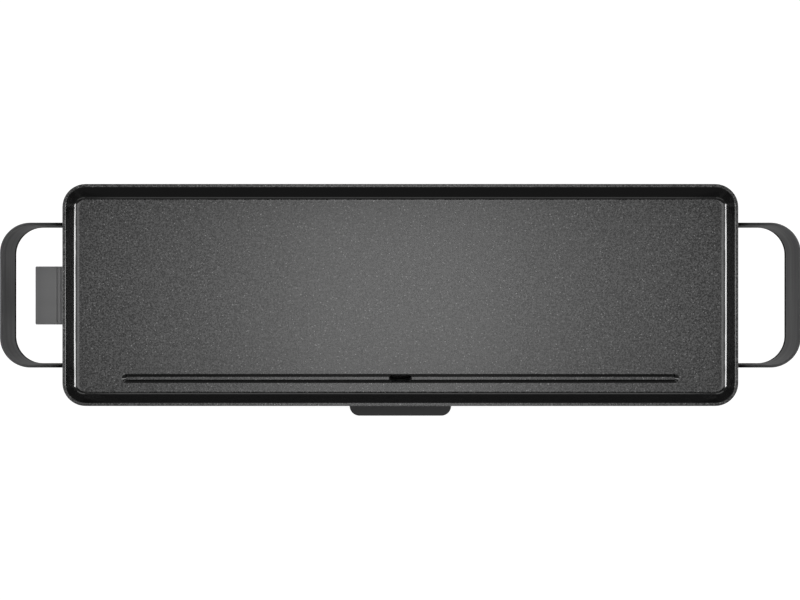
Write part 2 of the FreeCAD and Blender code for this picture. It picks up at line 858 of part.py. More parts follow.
def pull_outline(inset, z):
    """The pull's outline: straight at the drawer's front, round at its two outer corners."""
    half = pull_width / 2 - inset
    radius = pull_corner_radius - inset
    front = pull_front + inset
    back = tray_front - front_thickness / 2 if inset == 0 else tray_front - front_thickness
    bend = radius * (1 - math.sqrt(0.5))
    left = [Vec(-half, back, z), Vec(-half, front + radius, z)]
    right = [Vec(half, front + radius, z), Vec(half, back, z)]
    left_foot = Vec(-half + radius, front, z)
    right_foot = Vec(half - radius, front, z)
    edges = [
        Part.makeLine(left[0], left[1]),
        Part.Arc(left[1], Vec(-half + bend, front + bend, z), left_foot).toShape(),
        Part.makeLine(left_foot, right_foot),
        Part.Arc(right_foot, Vec(half - bend, front + bend, z), right[0]).toShape(),
        Part.makeLine(right[0], right[1]),
        Part.makeLine(right[1], left[0]),
    ]
    return Part.Wire(edges)


def drawer_front():
    """An upright cover plate with the pull moulded on it, hollow below for the fingers."""
    half_x = tray_half_flange + front_side_cover
    low = tray_bottom - 2.3
    panel = rounded_block(half_x, front_height / 2, front_corner_radius, 0, front_thickness)
    panel.rotate(Vec(0, 0, 0), Vec(1, 0, 0), 90)
    panel.translate(Vec(0, tray_front, low + front_height / 2))
    lip_bottom = pull_top - pull_thickness - pull_lip_height
    pull = raised(pull_outline(0, lip_bottom), pull_thickness + pull_lip_height)
    pull = softened(pull, pull_edge_radius, lambda p: abs(p.z - pull_top) < 1e-3 and p.y < tray_front - 2)
    hollow = raised(pull_outline(pull_wall, lip_bottom - 1), pull_lip_height + 1)
    front = panel.fuse(pull).cut(hollow)
    for seat in drawer_screw_places():
        end = Vec(seat.x, tray_front - front_thickness + 0.6, seat.z)
        front = front.cut(rod(small_screw.shank_radius + thread_clearance, seat, end))
    return front.removeSplitter()


def drawer_screws():
    length = tray_wall + front_thickness - 0.8
    return Part.makeCompound(
        [screw(small_screw, seat, Vec(0, -1, 0), length) for seat in drawer_screw_places()]
    )


# Socket at the left end of the base


def guard_screw_places():
    """Seats of the guard's screws on the inside of the base's end wall."""
    z = controller_bottom + guard_wall + 5
    y = controller_width / 2 - guard_wall - 5
    return [Vec(base_sheet - base_half_length, side * y, z) for side in (-1, 1)]


def earth_strip_level():
    """Upper face of the socket's floor, which carries the earth strip."""
    return controller_bottom + guard_wall


def earth_slot():
    """The passage of the earth strip through the socket's back and the base's wall."""
    level = earth_strip_level()
    return box(guard_back - 1, base_sheet - base_half_length + 1, -3.3, 3.3, level - 0.3, level + 1.1)


def socket_guard():
    centre = (0.0, controller_middle)
    half_y = controller_width / 2
    half_z = controller_height / 2
    outer = rounded_along_x(half_y, half_z, controller_corner_radius, guard_start, -base_half_length, centre)
    outer = softened(outer, controller_edge_radius, lambda point: abs(point.x - guard_start) < 1e-3)
    inner = (half_y - guard_wall, half_z - guard_wall)
    guard = outer.cut(rounded_along_x(*inner, 2, guard_start - 1, guard_back, centre))
    cuts = [earth_slot()]
    for y in (-pin_y, pin_y):
        hole_radius = pin_radius + plug_clearance
        cuts.append(rod(hole_radius, Vec(guard_back - 1, y, pin_z), Vec(0, y, pin_z)))
    probe_hole = probe_radius + probe_clearance + 0.2
    cuts.append(rod(probe_hole, Vec(guard_back - 1, 0, pin_z), Vec(0, 0, pin_z)))
    for seat in guard_screw_places():
        start = Vec(guard_back + 1, seat.y, seat.z)
        cuts.append(rod(small_screw.shank_radius + thread_clearance, start, seat))
    return guard.cut(cuts)


def guard_screws():
    return Part.makeCompound(
        [screw(small_screw, seat, Vec(-1, 0, 0), guard_wall - 0.5) for seat in guard_screw_places()]
    )


def earth_strip():
    """A bent contact strip: flat in the socket, then up against the inside of the end wall."""
    level = earth_strip_level()
    wall = base_sheet - base_half_length
    flat = box(guard_back - nose_length + 1.5, wall + 0.8, -3, 3, level, level + 0.8)
    tab = box(wall, wall + 0.8, -3, 3, level, level + 9)
    return flat.fuse(tab).removeSplitter()


# Heat controller


def nose_half():
    """Half width and half height of the plug that enters the socket."""
    inset = guard_wall + nose_clearance
    return controller_width / 2 - inset, controller_height / 2 - inset


def fitting_centre(above):
    """A point on the controller's end face, beside the dial."""
    return Vec(controller_end, small_fittings_offset, controller_middle + above)


def case_screw_places():
    """Where the two case screws enter from below."""
    y = controller_width / 2 - controller_wall - 3.2
    x = collar_start - 5
    return [(x, side * y) for side in (-1, 1)]


def controller_case():
    """Both halves of the case as one: body, plug, dial well, screw posts and ribs."""
    centre = (0.0, controller_middle)
    half_y = controller_width / 2
    half_z = controller_height / 2
    radius = controller_corner_radius
    wall = controller_wall
    body = rounded_along_x(half_y, half_z, radius, controller_end, collar_start, centre)
    body = softened(body, controller_edge_radius, lambda point: abs(point.x - controller_end) < 1e-3)
    waist = (half_y + 1, half_z + 1)
    slim = (half_y - collar_groove_depth, half_z - collar_groove_depth)
    ring = rounded_along_x(*waist, 1, collar_start - collar_groove, collar_start + 1, centre)
    ring = ring.cut(rounded_along_x(*slim, radius - 0.5, -half_length * 2, 0, centre))
    body = body.cut(ring)
    nose_y, nose_z = nose_half()
    nose = rounded_along_x(nose_y, nose_z, 2, collar_start - 2, nose_end, centre)
    room = (half_y - wall, half_z - wall, radius - 1)
    hollow = rounded_along_x(*room, controller_end + wall, collar_start - wall, centre)
    plug_hollow = (nose_y - nose_wall, nose_z - nose_wall, 1)
    plug = rounded_along_x(*plug_hollow, collar_start - wall - 1, nose_end - nose_wall, centre)
    case = body.fuse(nose).cut([hollow, plug])
    well_centre = Vec(controller_end, dial_y, controller_middle)
    inward = Vec(1, 0, 0)
    cup = Part.makeCylinder(well_radius + well_wall, well_depth + well_wall, well_centre, inward)
    cup = cup.common(box(controller_end + 1, 0, -half_y, half_y, controller_bottom + 1, controller_top - 1))
    plug_floor = controller_middle - nose_z + 1
    switch_bottom = controller_middle - switch_half_height
    ribs = [
        box(collar_start + 2, collar_start + 4, -6, 6, plug_floor, controller_middle),
        box(well_floor + 4, well_floor + 6, dial_y - 6, dial_y + 6, controller_bottom + 1, switch_bottom),
    ]
    for x, y in case_screw_places():
        post = rod(3.4, Vec(x, y, controller_bottom + 1), Vec(x, y, controller_top - 1))
        ribs.append(post)
    case = case.fuse([cup] + ribs)
    cuts = [
        Part.makeCylinder(well_radius, well_depth, well_centre, inward),
        Part.makeCylinder(spindle_radius + spindle_clearance, well_depth + 5, well_centre, inward),
        Part.makeCylinder(lamp_radius + 0.3, 5, fitting_centre(lamp_above_centre), inward),
        Part.makeCylinder(gland_radius, 5, fitting_centre(-gland_below_centre), inward),
        Part.makeCylinder(probe_radius + thread_clearance, plug_reach, Vec(collar_start, 0, pin_z), inward),
        box(collar_start, nose_end + 1, -3.6, 3.6, 0, earth_strip_level() + 1.3),
    ]
    for y in (-pin_y, pin_y):
        start = Vec(nose_end - nose_wall - 1, y, pin_z)
        cuts.append(Part.makeCylinder(pin_radius + plug_clearance, 5, start, inward))
    up = Vec(0, 0, 1)
    for x, y in case_screw_places():
        cuts.append(Part.makeCylinder(case_screw.head_radius + 0.4, 2.2, Vec(x, y, controller_bottom), up))
        foot_point = Vec(x, y, controller_bottom)
        thread_radius = case_screw.shank_radius + thread_clearance
        cuts.append(Part.makeCylinder(thread_radius, controller_height - 5, foot_point, up))
    return case.cut(cuts)


def half_case(upper):
    """The case above or below its parting line."""
    parting = controller_middle
    low, high = (parting, rim_top) if upper else (0, parting)
    room = box(controller_end - 1, 0, -half_width, half_width, low, high)
    return controller_case().common(room).removeSplitter()


def controller_collar():
    """A ring between the case and the socket, slipped over the plug."""
    centre = (0.0, controller_middle)
    half_y = controller_width / 2
    half_z = controller_height / 2
    ring = rounded_along_x(half_y, half_z, controller_corner_radius, collar_start, collar_end, centre)
    outer_edges = [e for e in ring.Edges if abs(e.CenterOfMass.x - collar_start) < 1e-3]
    ring = ring.makeChamfer(collar_chamfer, outer_edges)
    opening = [value + thread_clearance for value in (*nose_half(), 2.0)]
    return ring.cut(rounded_along_x(*opening, collar_start - 1, collar_end + 1, centre))


def probe_rod():
    """The probe: a closed tube with a round tip, held in the contact block."""
    tip = base_sheet - base_half_length + probe_reach - 3.5 * rib_end_gap
    straight = rod(probe_radius, Vec(collar_start + 0.5, 0, pin_z), Vec(tip, 0, pin_z))
    return softened(straight, probe_radius * 0.98, lambda point: abs(point.x - tip) < 1e-3)


def contact_block():
    """The insulating block that holds the contact sleeves and the probe."""
    half_y = pin_y + sleeve_radius + 2.5
    top = controller_middle + nose_half()[1] - nose_wall - 0.1
    block = box(collar_start + 1.8, collar_start + 7.8, -half_y, half_y, controller_middle, top)
    inward = Vec(1, 0, 0)
    centre = Vec(collar_start, 0, pin_z)
    cuts = [Part.makeCylinder(probe_radius + thread_clearance, plug_reach, centre, inward)]
    for y in (-pin_y, pin_y):
        start = Vec(collar_start, y, pin_z)
        cuts.append(Part.makeCylinder(sleeve_radius + thread_clearance, plug_reach, start, inward))
    return block.cut(cuts)


def contact_sleeves():
    """The two sockets that slide over the pins."""
    sleeves = []
    for y in (-pin_y, pin_y):
        start = collar_start + 1
        end = nose_end - nose_wall - 0.2
        sleeve = rod(sleeve_radius, Vec(start, y, pin_z), Vec(end, y, pin_z))
        bore = rod(pin_radius + plug_clearance, Vec(start + 1.5, y, pin_z), Vec(end + 1, y, pin_z))
        sleeves.append(sleeve.cut(bore))
    return Part.makeCompound(sleeves)


def thermostat_switch():
    """The switch behind the dial, with a bush for the spindle."""
    start = well_floor + well_wall + 2.5
    end = collar_start - 1.8
    low = controller_middle - switch_half_height
    high = controller_middle + switch_half_height
    body = box(start, end, dial_y - switch_half_width, dial_y + switch_half_width, low, high)
    face = Vec(start, dial_y, controller_middle)
    bush = rod(spindle_radius + 2, face - Vec(1.2, 0, 0), face)
    bore_end = Vec(end - 1, dial_y, controller_middle)
    hole = rod(spindle_radius + spindle_clearance, face - Vec(5, 0, 0), bore_end)
    return body.fuse(bush).cut(hole).removeSplitter()


def indicator_lamp():
    centre = fitting_centre(lamp_above_centre)
    start = centre + Vec(controller_wall + 1.4, 0, 0)
    bulb = rod(lamp_radius, start, start + Vec(8, 0, 0))
    return softened(bulb, 1.0, lambda point: point.x < start.x + 1e-3)


def lamp_lens():
    """A clear window in the end face with a shoulder inside."""
    centre = fitting_centre(lamp_above_centre)
    inward = Vec(1, 0, 0)
    face = centre + Vec(fitting_recess, 0, 0)
    outer = Part.makeCylinder(lamp_radius + 0.2, controller_wall, face, inward)
    shoulder = Part.makeCylinder(lamp_radius + 1.2, 1.0, face + Vec(controller_wall, 0, 0), inward)
    return outer.fuse(shoulder).removeSplitter()


def cord_gland():
    """A bush in the end face that a mains cord would pass."""
    centre = fitting_centre(-gland_below_centre)
    inward = Vec(1, 0, 0)
    face = centre + Vec(fitting_recess, 0, 0)
    bush = Part.makeCylinder(gland_radius - thread_clearance, gland_length, face, inward)
    shoulder = Part.makeCylinder(gland_radius + 1.3, 1.5, face + Vec(controller_wall, 0, 0), inward)
    bore = Part.makeCylinder(gland_bore_radius, gland_length + 2, centre, inward)
    return bush.fuse(shoulder).cut(bore).removeSplitter()


def controller_screws():
    length = controller_height - 8
    return Part.makeCompound(
        [
            screw(case_screw, Vec(x, y, controller_bottom + 2.2), Vec(0, 0, 1), length)
            for x, y in case_screw_places()
        ]
    )


# Heat dial


def heat_dial():
    """A disc with two dished pockets that leave a grip bar across it, flush with the end face."""
    face = Vec(well_floor - 0.6 - dial_depth, dial_y, controller_middle)
    inward = Vec(1, 0, 0)
    disc = Part.makeCylinder(dial_radius, dial_depth, face, inward)
    disc = softened(disc, 0.5, lambda point: abs(point.x - face.x) < 1e-3)
    dish = Part.makeCylinder(dial_radius - dial_rim, dial_dish_depth, face, inward)
    bar_side = dial_bar_width / 2
    bar = box(face.x - 1, face.x + dial_depth, dial_y - bar_side, dial_y + bar_side, 0, rim_top)
    disc = disc.cut(dish.cut(bar))
    bore_start = face + Vec(dial_dish_depth - 1, 0, 0)
    bore = Part.makeCylinder(spindle_radius + thread_clearance, dial_depth, bore_start, inward)
    return disc.cut(bore)


def dial_spindle():
    start = well_floor - 0.6 - dial_depth + dial_dish_depth - 0.9
    end = well_floor + well_wall + 2.5 + 5
    return rod(spindle_radius, Vec(start, dial_y, controller_middle), Vec(end, dial_y, controller_middle))


def spindle_clip():
    """A retaining ring on the spindle, just behind the dial's well."""
    start = well_floor + well_wall + 0.3
    first = Vec(start, dial_y, controller_middle)
    last = Vec(start + clip_thickness, dial_y, controller_middle)
    ring = rod(spindle_radius * 1.9, first, last)
    return ring.cut(rod(spindle_radius + thread_clearance, first - Vec(1, 0, 0), last + Vec(1, 0, 0)))


def feet():
    """The four feet and their pads, named by place."""
    named = {}
    for depth, sy in (("front", -1), ("back", 1)):
        for side, sx in (("left", -1), ("right", 1)):
            named[f"foot_{depth}_{side}"] = foot(sx * foot_x, sy * foot_y)
            named[f"foot_pad_{depth}_{side}"] = foot_pad(sx * foot_x, sy * foot_y)
    return named


def all_parts():
    """Every piece by its name, centred on the griddle plate."""
    grip = right_handle()
    rail = right_runner()
    sideways = Vec(1, 0, 0)
    named = {
        "griddle_plate": griddle_plate(),
        "heating_element": heating_element(),
        "terminal_pins": terminal_pins(),
        "pin_insulators": pin_insulators(),
        "element_clamps": element_clamps(),
        "clamp_screws": clamp_screws(),
        "heat_shield": heat_shield(),
        "shield_screws": shield_screws(),
        "drain_spout": drain_spout(),
        "spout_screws": spout_screws(),
        "base_pan": base_pan(),
        "socket_guard": socket_guard(),
        "guard_screws": guard_screws(),
        "earth_strip": earth_strip(),
        "support_pillars": support_pillars(),
        "foot_bolts": foot_bolts(),
        "right_handle": grip,
        "left_handle": mirrored(grip, sideways),
        "handle_screws": handle_screws(),
        "handle_nuts": handle_nuts(),
        "right_runner": rail,
        "left_runner": mirrored(rail, sideways),
        "runner_rivets": runner_rivets(),
        "drip_tray": drip_tray(),
        "drawer_front": drawer_front(),
        "drawer_screws": drawer_screws(),
        "controller_upper_shell": half_case(upper=True),
        "controller_lower_shell": half_case(upper=False),
        "controller_collar": controller_collar(),
        "probe_rod": probe_rod(),
        "contact_block": contact_block(),
        "contact_sleeves": contact_sleeves(),
        "thermostat_switch": thermostat_switch(),
        "indicator_lamp": indicator_lamp(),
        "lamp_lens": lamp_lens(),
        "cord_gland": cord_gland(),
        "controller_screws": controller_screws(),
        "heat_dial": heat_dial(),
        "dial_spindle": dial_spindle(),
        "spindle_clip": spindle_clip(),
    }
    named.update(feet())
    return named


# The drawer's pull reaches past the plate's front, so the middle of the footprint lies there
footprint_shift = Vec(0, -(half_width + pull_front) / 2, 0)


def write_parts():
    """Each piece as its own file, with the origin under the middle of the whole footprint."""
    os.makedirs("parts", exist_ok=True)
    for name, shape in all_parts().items():
        shape.translate(footprint_shift)
        shape.exportStep(os.path.join("parts", name + ".step"))


write_parts()
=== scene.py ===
"""Dresses the electric table grill: finishes for every part, fine fittings, studio and camera."""
import json
import logging
import math
from abc import ABC, abstractmethod
from dataclasses import dataclass, field
from enum import Enum
from typing import Callable, Mapping, Sequence, Union

import bmesh
import bpy
from mathutils import Matrix, Vector


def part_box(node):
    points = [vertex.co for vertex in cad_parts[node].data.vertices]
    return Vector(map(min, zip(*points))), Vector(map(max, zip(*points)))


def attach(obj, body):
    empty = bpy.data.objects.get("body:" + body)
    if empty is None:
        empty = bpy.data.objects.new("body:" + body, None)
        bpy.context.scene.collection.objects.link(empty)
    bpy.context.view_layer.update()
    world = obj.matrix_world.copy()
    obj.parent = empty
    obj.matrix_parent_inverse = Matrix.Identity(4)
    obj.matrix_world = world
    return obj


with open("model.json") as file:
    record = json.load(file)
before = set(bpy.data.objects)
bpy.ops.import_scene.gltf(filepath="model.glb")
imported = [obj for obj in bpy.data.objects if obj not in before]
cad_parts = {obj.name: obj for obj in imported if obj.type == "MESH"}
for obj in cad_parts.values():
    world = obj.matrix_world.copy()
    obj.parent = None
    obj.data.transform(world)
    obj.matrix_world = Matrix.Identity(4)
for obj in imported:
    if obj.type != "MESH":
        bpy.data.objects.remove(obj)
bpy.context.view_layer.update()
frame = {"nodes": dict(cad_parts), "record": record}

MM = 0.001
HANDLE_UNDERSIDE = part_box("left_handle")[0].z

# Blender's Mix node has its colour sockets at these places, because names there are shared.
MIX_MASK = 0
MIX_FIRST = 6
MIX_SECOND = 7
MIX_RESULT = 2

logging.basicConfig(level=logging.INFO, format="%(message)s")
LOG = logging.getLogger("grill")

Band = tuple[float, float]
Triple = tuple[float, float, float]
Stops = Sequence[tuple[float, Triple]]
Input = Union[float, tuple[float, ...], "Value"]


@dataclass(frozen=True)
class Value:
    """One output socket of a node tree, used in Python expressions."""

    wiring: "Wiring"
    socket: bpy.types.NodeSocket

    def _math(self, operation: str, first: Input, second: Input = 0.0) -> "Value":
        """Adds one Math node.

        Args:
            operation: Blender's name of the operation.
            first: The first number or link.
            second: The second number or link.

        Returns:
            The node's result.
        """
        return self.wiring.node("ShaderNodeMath", {"operation": operation}, {0: first, 1: second})

    def __add__(self, other: Input) -> "Value":
        """Sum of this value and another."""
        return self._math("ADD", self, other)

    def __radd__(self, other: Input) -> "Value":
        """Sum with a plain number on the left."""
        return self._math("ADD", other, self)

    def __sub__(self, other: Input) -> "Value":
        """Difference of this value and another."""
        return self._math("SUBTRACT", self, other)

    def __rsub__(self, other: Input) -> "Value":
        """Difference with a plain number on the left."""
        return self._math("SUBTRACT", other, self)

    def __mul__(self, other: Input) -> "Value":
        """Product of this value and another."""
        return self._math("MULTIPLY", self, other)

    def step(self, low: float, high: float) -> "Value":
        """Rises smoothly from 0 to 1 between two levels.

        Args:
            low: The level at which the result leaves 0.
            high: The level at which the result reaches 1.

        Returns:
            The smooth mask.
        """
        settings = {"interpolation_type": "SMOOTHSTEP"}
        sockets = {"Value": self, "From Min": low, "From Max": high}
        return self.wiring.node("ShaderNodeMapRange", settings, sockets)

    def size(self) -> "Value":
        """The value without its sign."""
        return self._math("ABSOLUTE", self)

    def between(self, low: float, high: float) -> "Value":
        """Scales a 0 to 1 value to run from low to high."""
        return self * (high - low) + low

    def about(self, level: float, less: float, more: float) -> "Value":
        """Scales a 0 to 1 value to run from a little less than a level to a little more."""
        return self.between(level - less, level + more)

    def over(self, other: "Value", share: float) -> "Value":
        """This value with a share of another in it."""
        return self * (1 - share) + other * share


class Wiring:
    """A node tree that is filled from Python."""

    def __init__(self, tree: bpy.types.NodeTree) -> None:
        """Empties the tree.

        Args:
            tree: The material's or world's node tree.
        """
        self.tree = tree
        self.tree.nodes.clear()

    def node(
        self,
        kind: str,
        settings: Mapping[str, object] | None = None,
        sockets: Mapping[int | str, Input] | None = None,
        output: int | str = 0,
    ) -> Value:
        """Adds one node.

        Args:
            kind: Blender's type name of the node.
            settings: Properties that are set before the sockets.
            sockets: The value or link of each input, by name or number.
            output: Which output is wanted.

        Returns:
            The wanted output.
        """
        made = self.tree.nodes.new(kind)
        for name, value in (settings or {}).items():
            setattr(made, name, value)
        for key, value in (sockets or {}).items():
            if isinstance(value, Value):
                self.tree.links.new(value.socket, made.inputs[key])
            else:
                made.inputs[key].default_value = value
        return Value(self, made.outputs[output])

    def ramp(self, mask: Value, stops: Stops) -> Value:
        """A colour ramp.

        Args:
            mask: The place on the ramp, from 0 to 1.
            stops: Places from 0 to 1, each with its colour.

        Returns:
            The colour.
        """
        colour = self.node("ShaderNodeValToRGB", {}, {"Fac": mask})
        elements = colour.socket.node.color_ramp.elements
        while len(elements) < len(stops):
            elements.new(1.0)
        for element, (position, tint) in zip(elements, stops):
            element.position = position
            element.color = (*tint, 1.0)
        return colour

    def close(self, kind: str, shader: Value) -> None:
        """Links a shader to the tree's output node, which is of a given kind."""
        end = self.tree.nodes.new(kind)
        self.tree.links.new(shader.socket, end.inputs["Surface"])


class Paint(Wiring):
    """A new material and the nodes in it."""

    def __init__(self, name: str) -> None:
        """Starts an empty node tree.

        Args:
            name: The material's name.
        """
        self.material = bpy.data.materials.new(name)
        self.material.use_nodes = True
        super().__init__(self.material.node_tree)
        self.place = self.node("ShaderNodeTexCoord", output="Object")

    def stretched(self, scale: Triple) -> Value:
        """Object coordinates with each axis scaled by itself."""
        return self.node("ShaderNodeMapping", {}, {"Vector": self.place, "Scale": scale})

    def noise(
        self,
        grain_mm: float,
        detail: float = 3.0,
        rough: float = 0.5,
        where: Value | None = None,
    ) -> Value:
        """Cloudy noise.

        Args:
            grain_mm: The size of a typical patch.
            detail: How many finer layers it has.
            rough: How strong the finer layers are.
            where: Coordinates other than the object's own.

        Returns:
            A value around 0.5.
        """
        sockets = {
            "Vector": where or self.place,
            "Scale": 1.0 / (grain_mm * MM),
            "Detail": detail,
            "Roughness": rough,
        }
        return self.node("ShaderNodeTexNoise", {}, sockets)

    def cells(self, pitch_mm: float) -> Value:
        """Distance to scattered points, in pitches."""
        sockets = {"Vector": self.place, "Scale": 1.0 / (pitch_mm * MM)}
        return self.node("ShaderNodeTexVoronoi", {}, sockets, "Distance")

    def facing(self, axis: str) -> Value:
        """How far the surface faces along one axis of the object, from -1 to 1."""
        normal = self.node("ShaderNodeTexCoord", output="Normal")
        return self.node("ShaderNodeSeparateXYZ", {}, {0: normal}, axis)

    def along(self, axis: str) -> Value:
        """The place along one axis of the object, in metres."""
        return self.node("ShaderNodeSeparateXYZ", {}, {0: self.place}, axis)

    def mixed(self, mask: Value, first: Union[Triple, Value], second: Triple) -> Value:
        """A colour between two colours.

        Args:
            mask: 0 for the first colour and 1 for the second.
            first: Linear red, green and blue, or a link with a colour.
            second: Linear red, green and blue.

        Returns:
            The mixed colour.
        """
        start = first if isinstance(first, Value) else (*first, 1.0)
        sockets = {MIX_MASK: mask, MIX_FIRST: start, MIX_SECOND: (*second, 1.0)}
        return self.node("ShaderNodeMix", {"data_type": "RGBA"}, sockets, MIX_RESULT)

    def toned(self, mask: Value, colour: Triple, dark: float, light: float) -> Value:
        """A colour between two tones of itself.

        Args:
            mask: 0 for the dark tone and 1 for the light one.
            colour: Linear red, green and blue.
            dark: The dark tone's factor.
            light: The light tone's factor.

        Returns:
            The colour.
        """
        return self.mixed(mask, shaded(colour, dark), shaded(colour, light))

    def bump(
        self,
        height: Value,
        depth_mm: float,
        strength: float = 1.0,
        under: Value | None = None,
    ) -> Value:
        """A normal bent by a height.

        Args:
            height: The relief, 0 to 1.
            depth_mm: How deep the relief is from 0 to 1.
            strength: The share of the effect.
            under: A relief below this one.

        Returns:
            The bent normal.
        """
        sockets = {"Height": height, "Distance": depth_mm * MM, "Strength": strength}
        if under is not None:
            sockets["Normal"] = under
        return self.node("ShaderNodeBump", {}, sockets)

    def finished(self, sockets: Mapping[str, Input]) -> bpy.types.Material:
        """Closes the material with a Principled shader.

        Args:
            sockets: The shader's inputs.

        Returns:
            The material.
        """
        shader = self.node("ShaderNodeBsdfPrincipled", {}, sockets, "BSDF")
        self.close("ShaderNodeOutputMaterial", shader)
        return self.material


def grey(level: float) -> Triple:
    """A neutral colour."""
    return (level, level, level)


def shaded(colour: Triple, factor: float) -> Triple:
    """A colour made lighter or darker by a factor."""
    return (colour[0] * factor, colour[1] * factor, colour[2] * factor)


class Finish(ABC):
    """A finish, which builds one material.

    In its sizes, a band is the two levels between which a mask rises, a share is how strongly a
    pattern shows in the colour, a dulling is what it adds to the roughness, and a relief is its
    height beside that of the main pattern.
    """

    @abstractmethod
    def sockets(self, paint: Paint) -> dict[str, Input]:
        """Makes the nodes of the finish.

        Args:
            paint: The material's nodes.

        Returns:
            The inputs of its Principled shader, by name.
        """

    def material(self, name: str) -> bpy.types.Material:
        """Builds the material and gives it a name."""
        paint = Paint(name)
        return paint.finished(self.sockets(paint))


@dataclass(frozen=True)
class SpeckledCoating(Finish):
    """Dark pebbled non-stick coating with pale specks, burnished in the fillets at the plate's ends."""

    base: float = 0.003
    speck: float = 0.7
    index: float = 1.8
    gloss: float = 0.12
    level_band: Band = (0.9, 0.99)
    patch_mm: float = 9.0
    patch_dulling: float = 0.03
    pebble_mm: float = 1.7
    pebble_dulling: float = 0.08
    pebble_depth_mm: float = 0.024
    pebbles_off_level: float = 0.12
    grain_mm: float = 1.8
    grain_band: Band = (0.37, 0.63)
    grain_share: float = 0.18
    grain_dulling: float = 0.1
    grain_relief: float = 0.3
    speck_pitch_mm: float = 3.1
    speck_band: Band = (0.12, 0.22)
    speck_thinning: Band = (0.42, 0.54)
    speck_share: float = 0.5
    speck_relief: float = 0.25
    burnish_index: float = 3.0
    burnish_start: Band = (0.52, 0.6)
    burnish_end: Band = (0.79, 0.84)
    burnish_reach: Band = (0.31, 0.32)
    corner_band: Band = (0.1, 0.3)

    def _burnished(self, paint: Paint) -> Value:
        """Marks the slope half way up the fillets at the plate's two ends.

        Args:
            paint: The material's nodes.

        Returns:
            The mask, which leaves out the corners and the fillets at the front and back.
        """
        lean = paint.facing("X").size()
        slope = lean.step(*self.burnish_start) - lean.step(*self.burnish_end)
        ends = paint.along("X").size().step(*self.burnish_reach)
        corners = paint.facing("Y").size().step(*self.corner_band)
        return slope * ends * (1 - corners)

    def sockets(self, paint: Paint) -> dict[str, Input]:
        """Makes the nodes of the finish.

        Args:
            paint: The material's nodes.

        Returns:
            The inputs of its Principled shader, by name.
        """
        level = paint.facing("Z").step(*self.level_band)
        patches = paint.noise(self.patch_mm, detail=2.0)
        pebbles = paint.noise(self.pebble_mm, detail=4.0, rough=0.6)
        grains = paint.noise(self.grain_mm, detail=2.0, rough=0.7).step(*self.grain_band)
        specks = 1 - paint.cells(self.speck_pitch_mm).step(*self.speck_band)
        seen = specks * pebbles.step(*self.speck_thinning)
        pale = (seen * self.speck_share + grains * self.grain_share) * level
        dull = grains * self.grain_dulling + pebbles * self.pebble_dulling + patches * self.patch_dulling
        relief = pebbles + grains * self.grain_relief + specks * self.speck_relief
        relief = relief * level.between(self.pebbles_off_level, 1.0)
        return {
            "Base Color": paint.mixed(pale, grey(self.base), grey(self.speck)),
            "Roughness": self.gloss + dull * level,
            "IOR": self.index,
            "Coat Weight": self._burnished(paint),
            "Coat Roughness": self.gloss,
            "Coat IOR": self.burnish_index,
            "Normal": paint.bump(relief, self.pebble_depth_mm),
        }


@dataclass(frozen=True)
class PowderCoat(Finish):
    """Baked powder coat with a soft orange-peel skin."""

    colour: Triple = (0.02, 0.02, 0.021)
    gloss: float = 0.45
    shine: float = 0.4
    cloud_mm: float = 30.0
    grit_mm: float = 0.55
    grit_band: Band = (0.1, 0.5)
    grit_dulling: float = 0.04
    grit_relief: float = 0.2
    peel_mm: float = 1.2
    peel_depth_mm: float = 0.012

    def sockets(self, paint: Paint) -> dict[str, Input]:
        """Makes the nodes of the finish.

        Args:
            paint: The material's nodes.

        Returns:
            The inputs of its Principled shader, by name.
        """
        peel = paint.noise(self.peel_mm, rough=0.55)
        grit = paint.cells(self.grit_mm).step(*self.grit_band)
        return {
            "Base Color": paint.toned(paint.noise(self.cloud_mm), self.colour, dark=0.85, light=1.2),
            "Roughness": peel.about(self.gloss, less=0.06, more=0.06) + grit * self.grit_dulling,
            "Specular IOR Level": self.shine,
            "Normal": paint.bump(peel + grit * self.grit_relief, self.peel_depth_mm),
        }


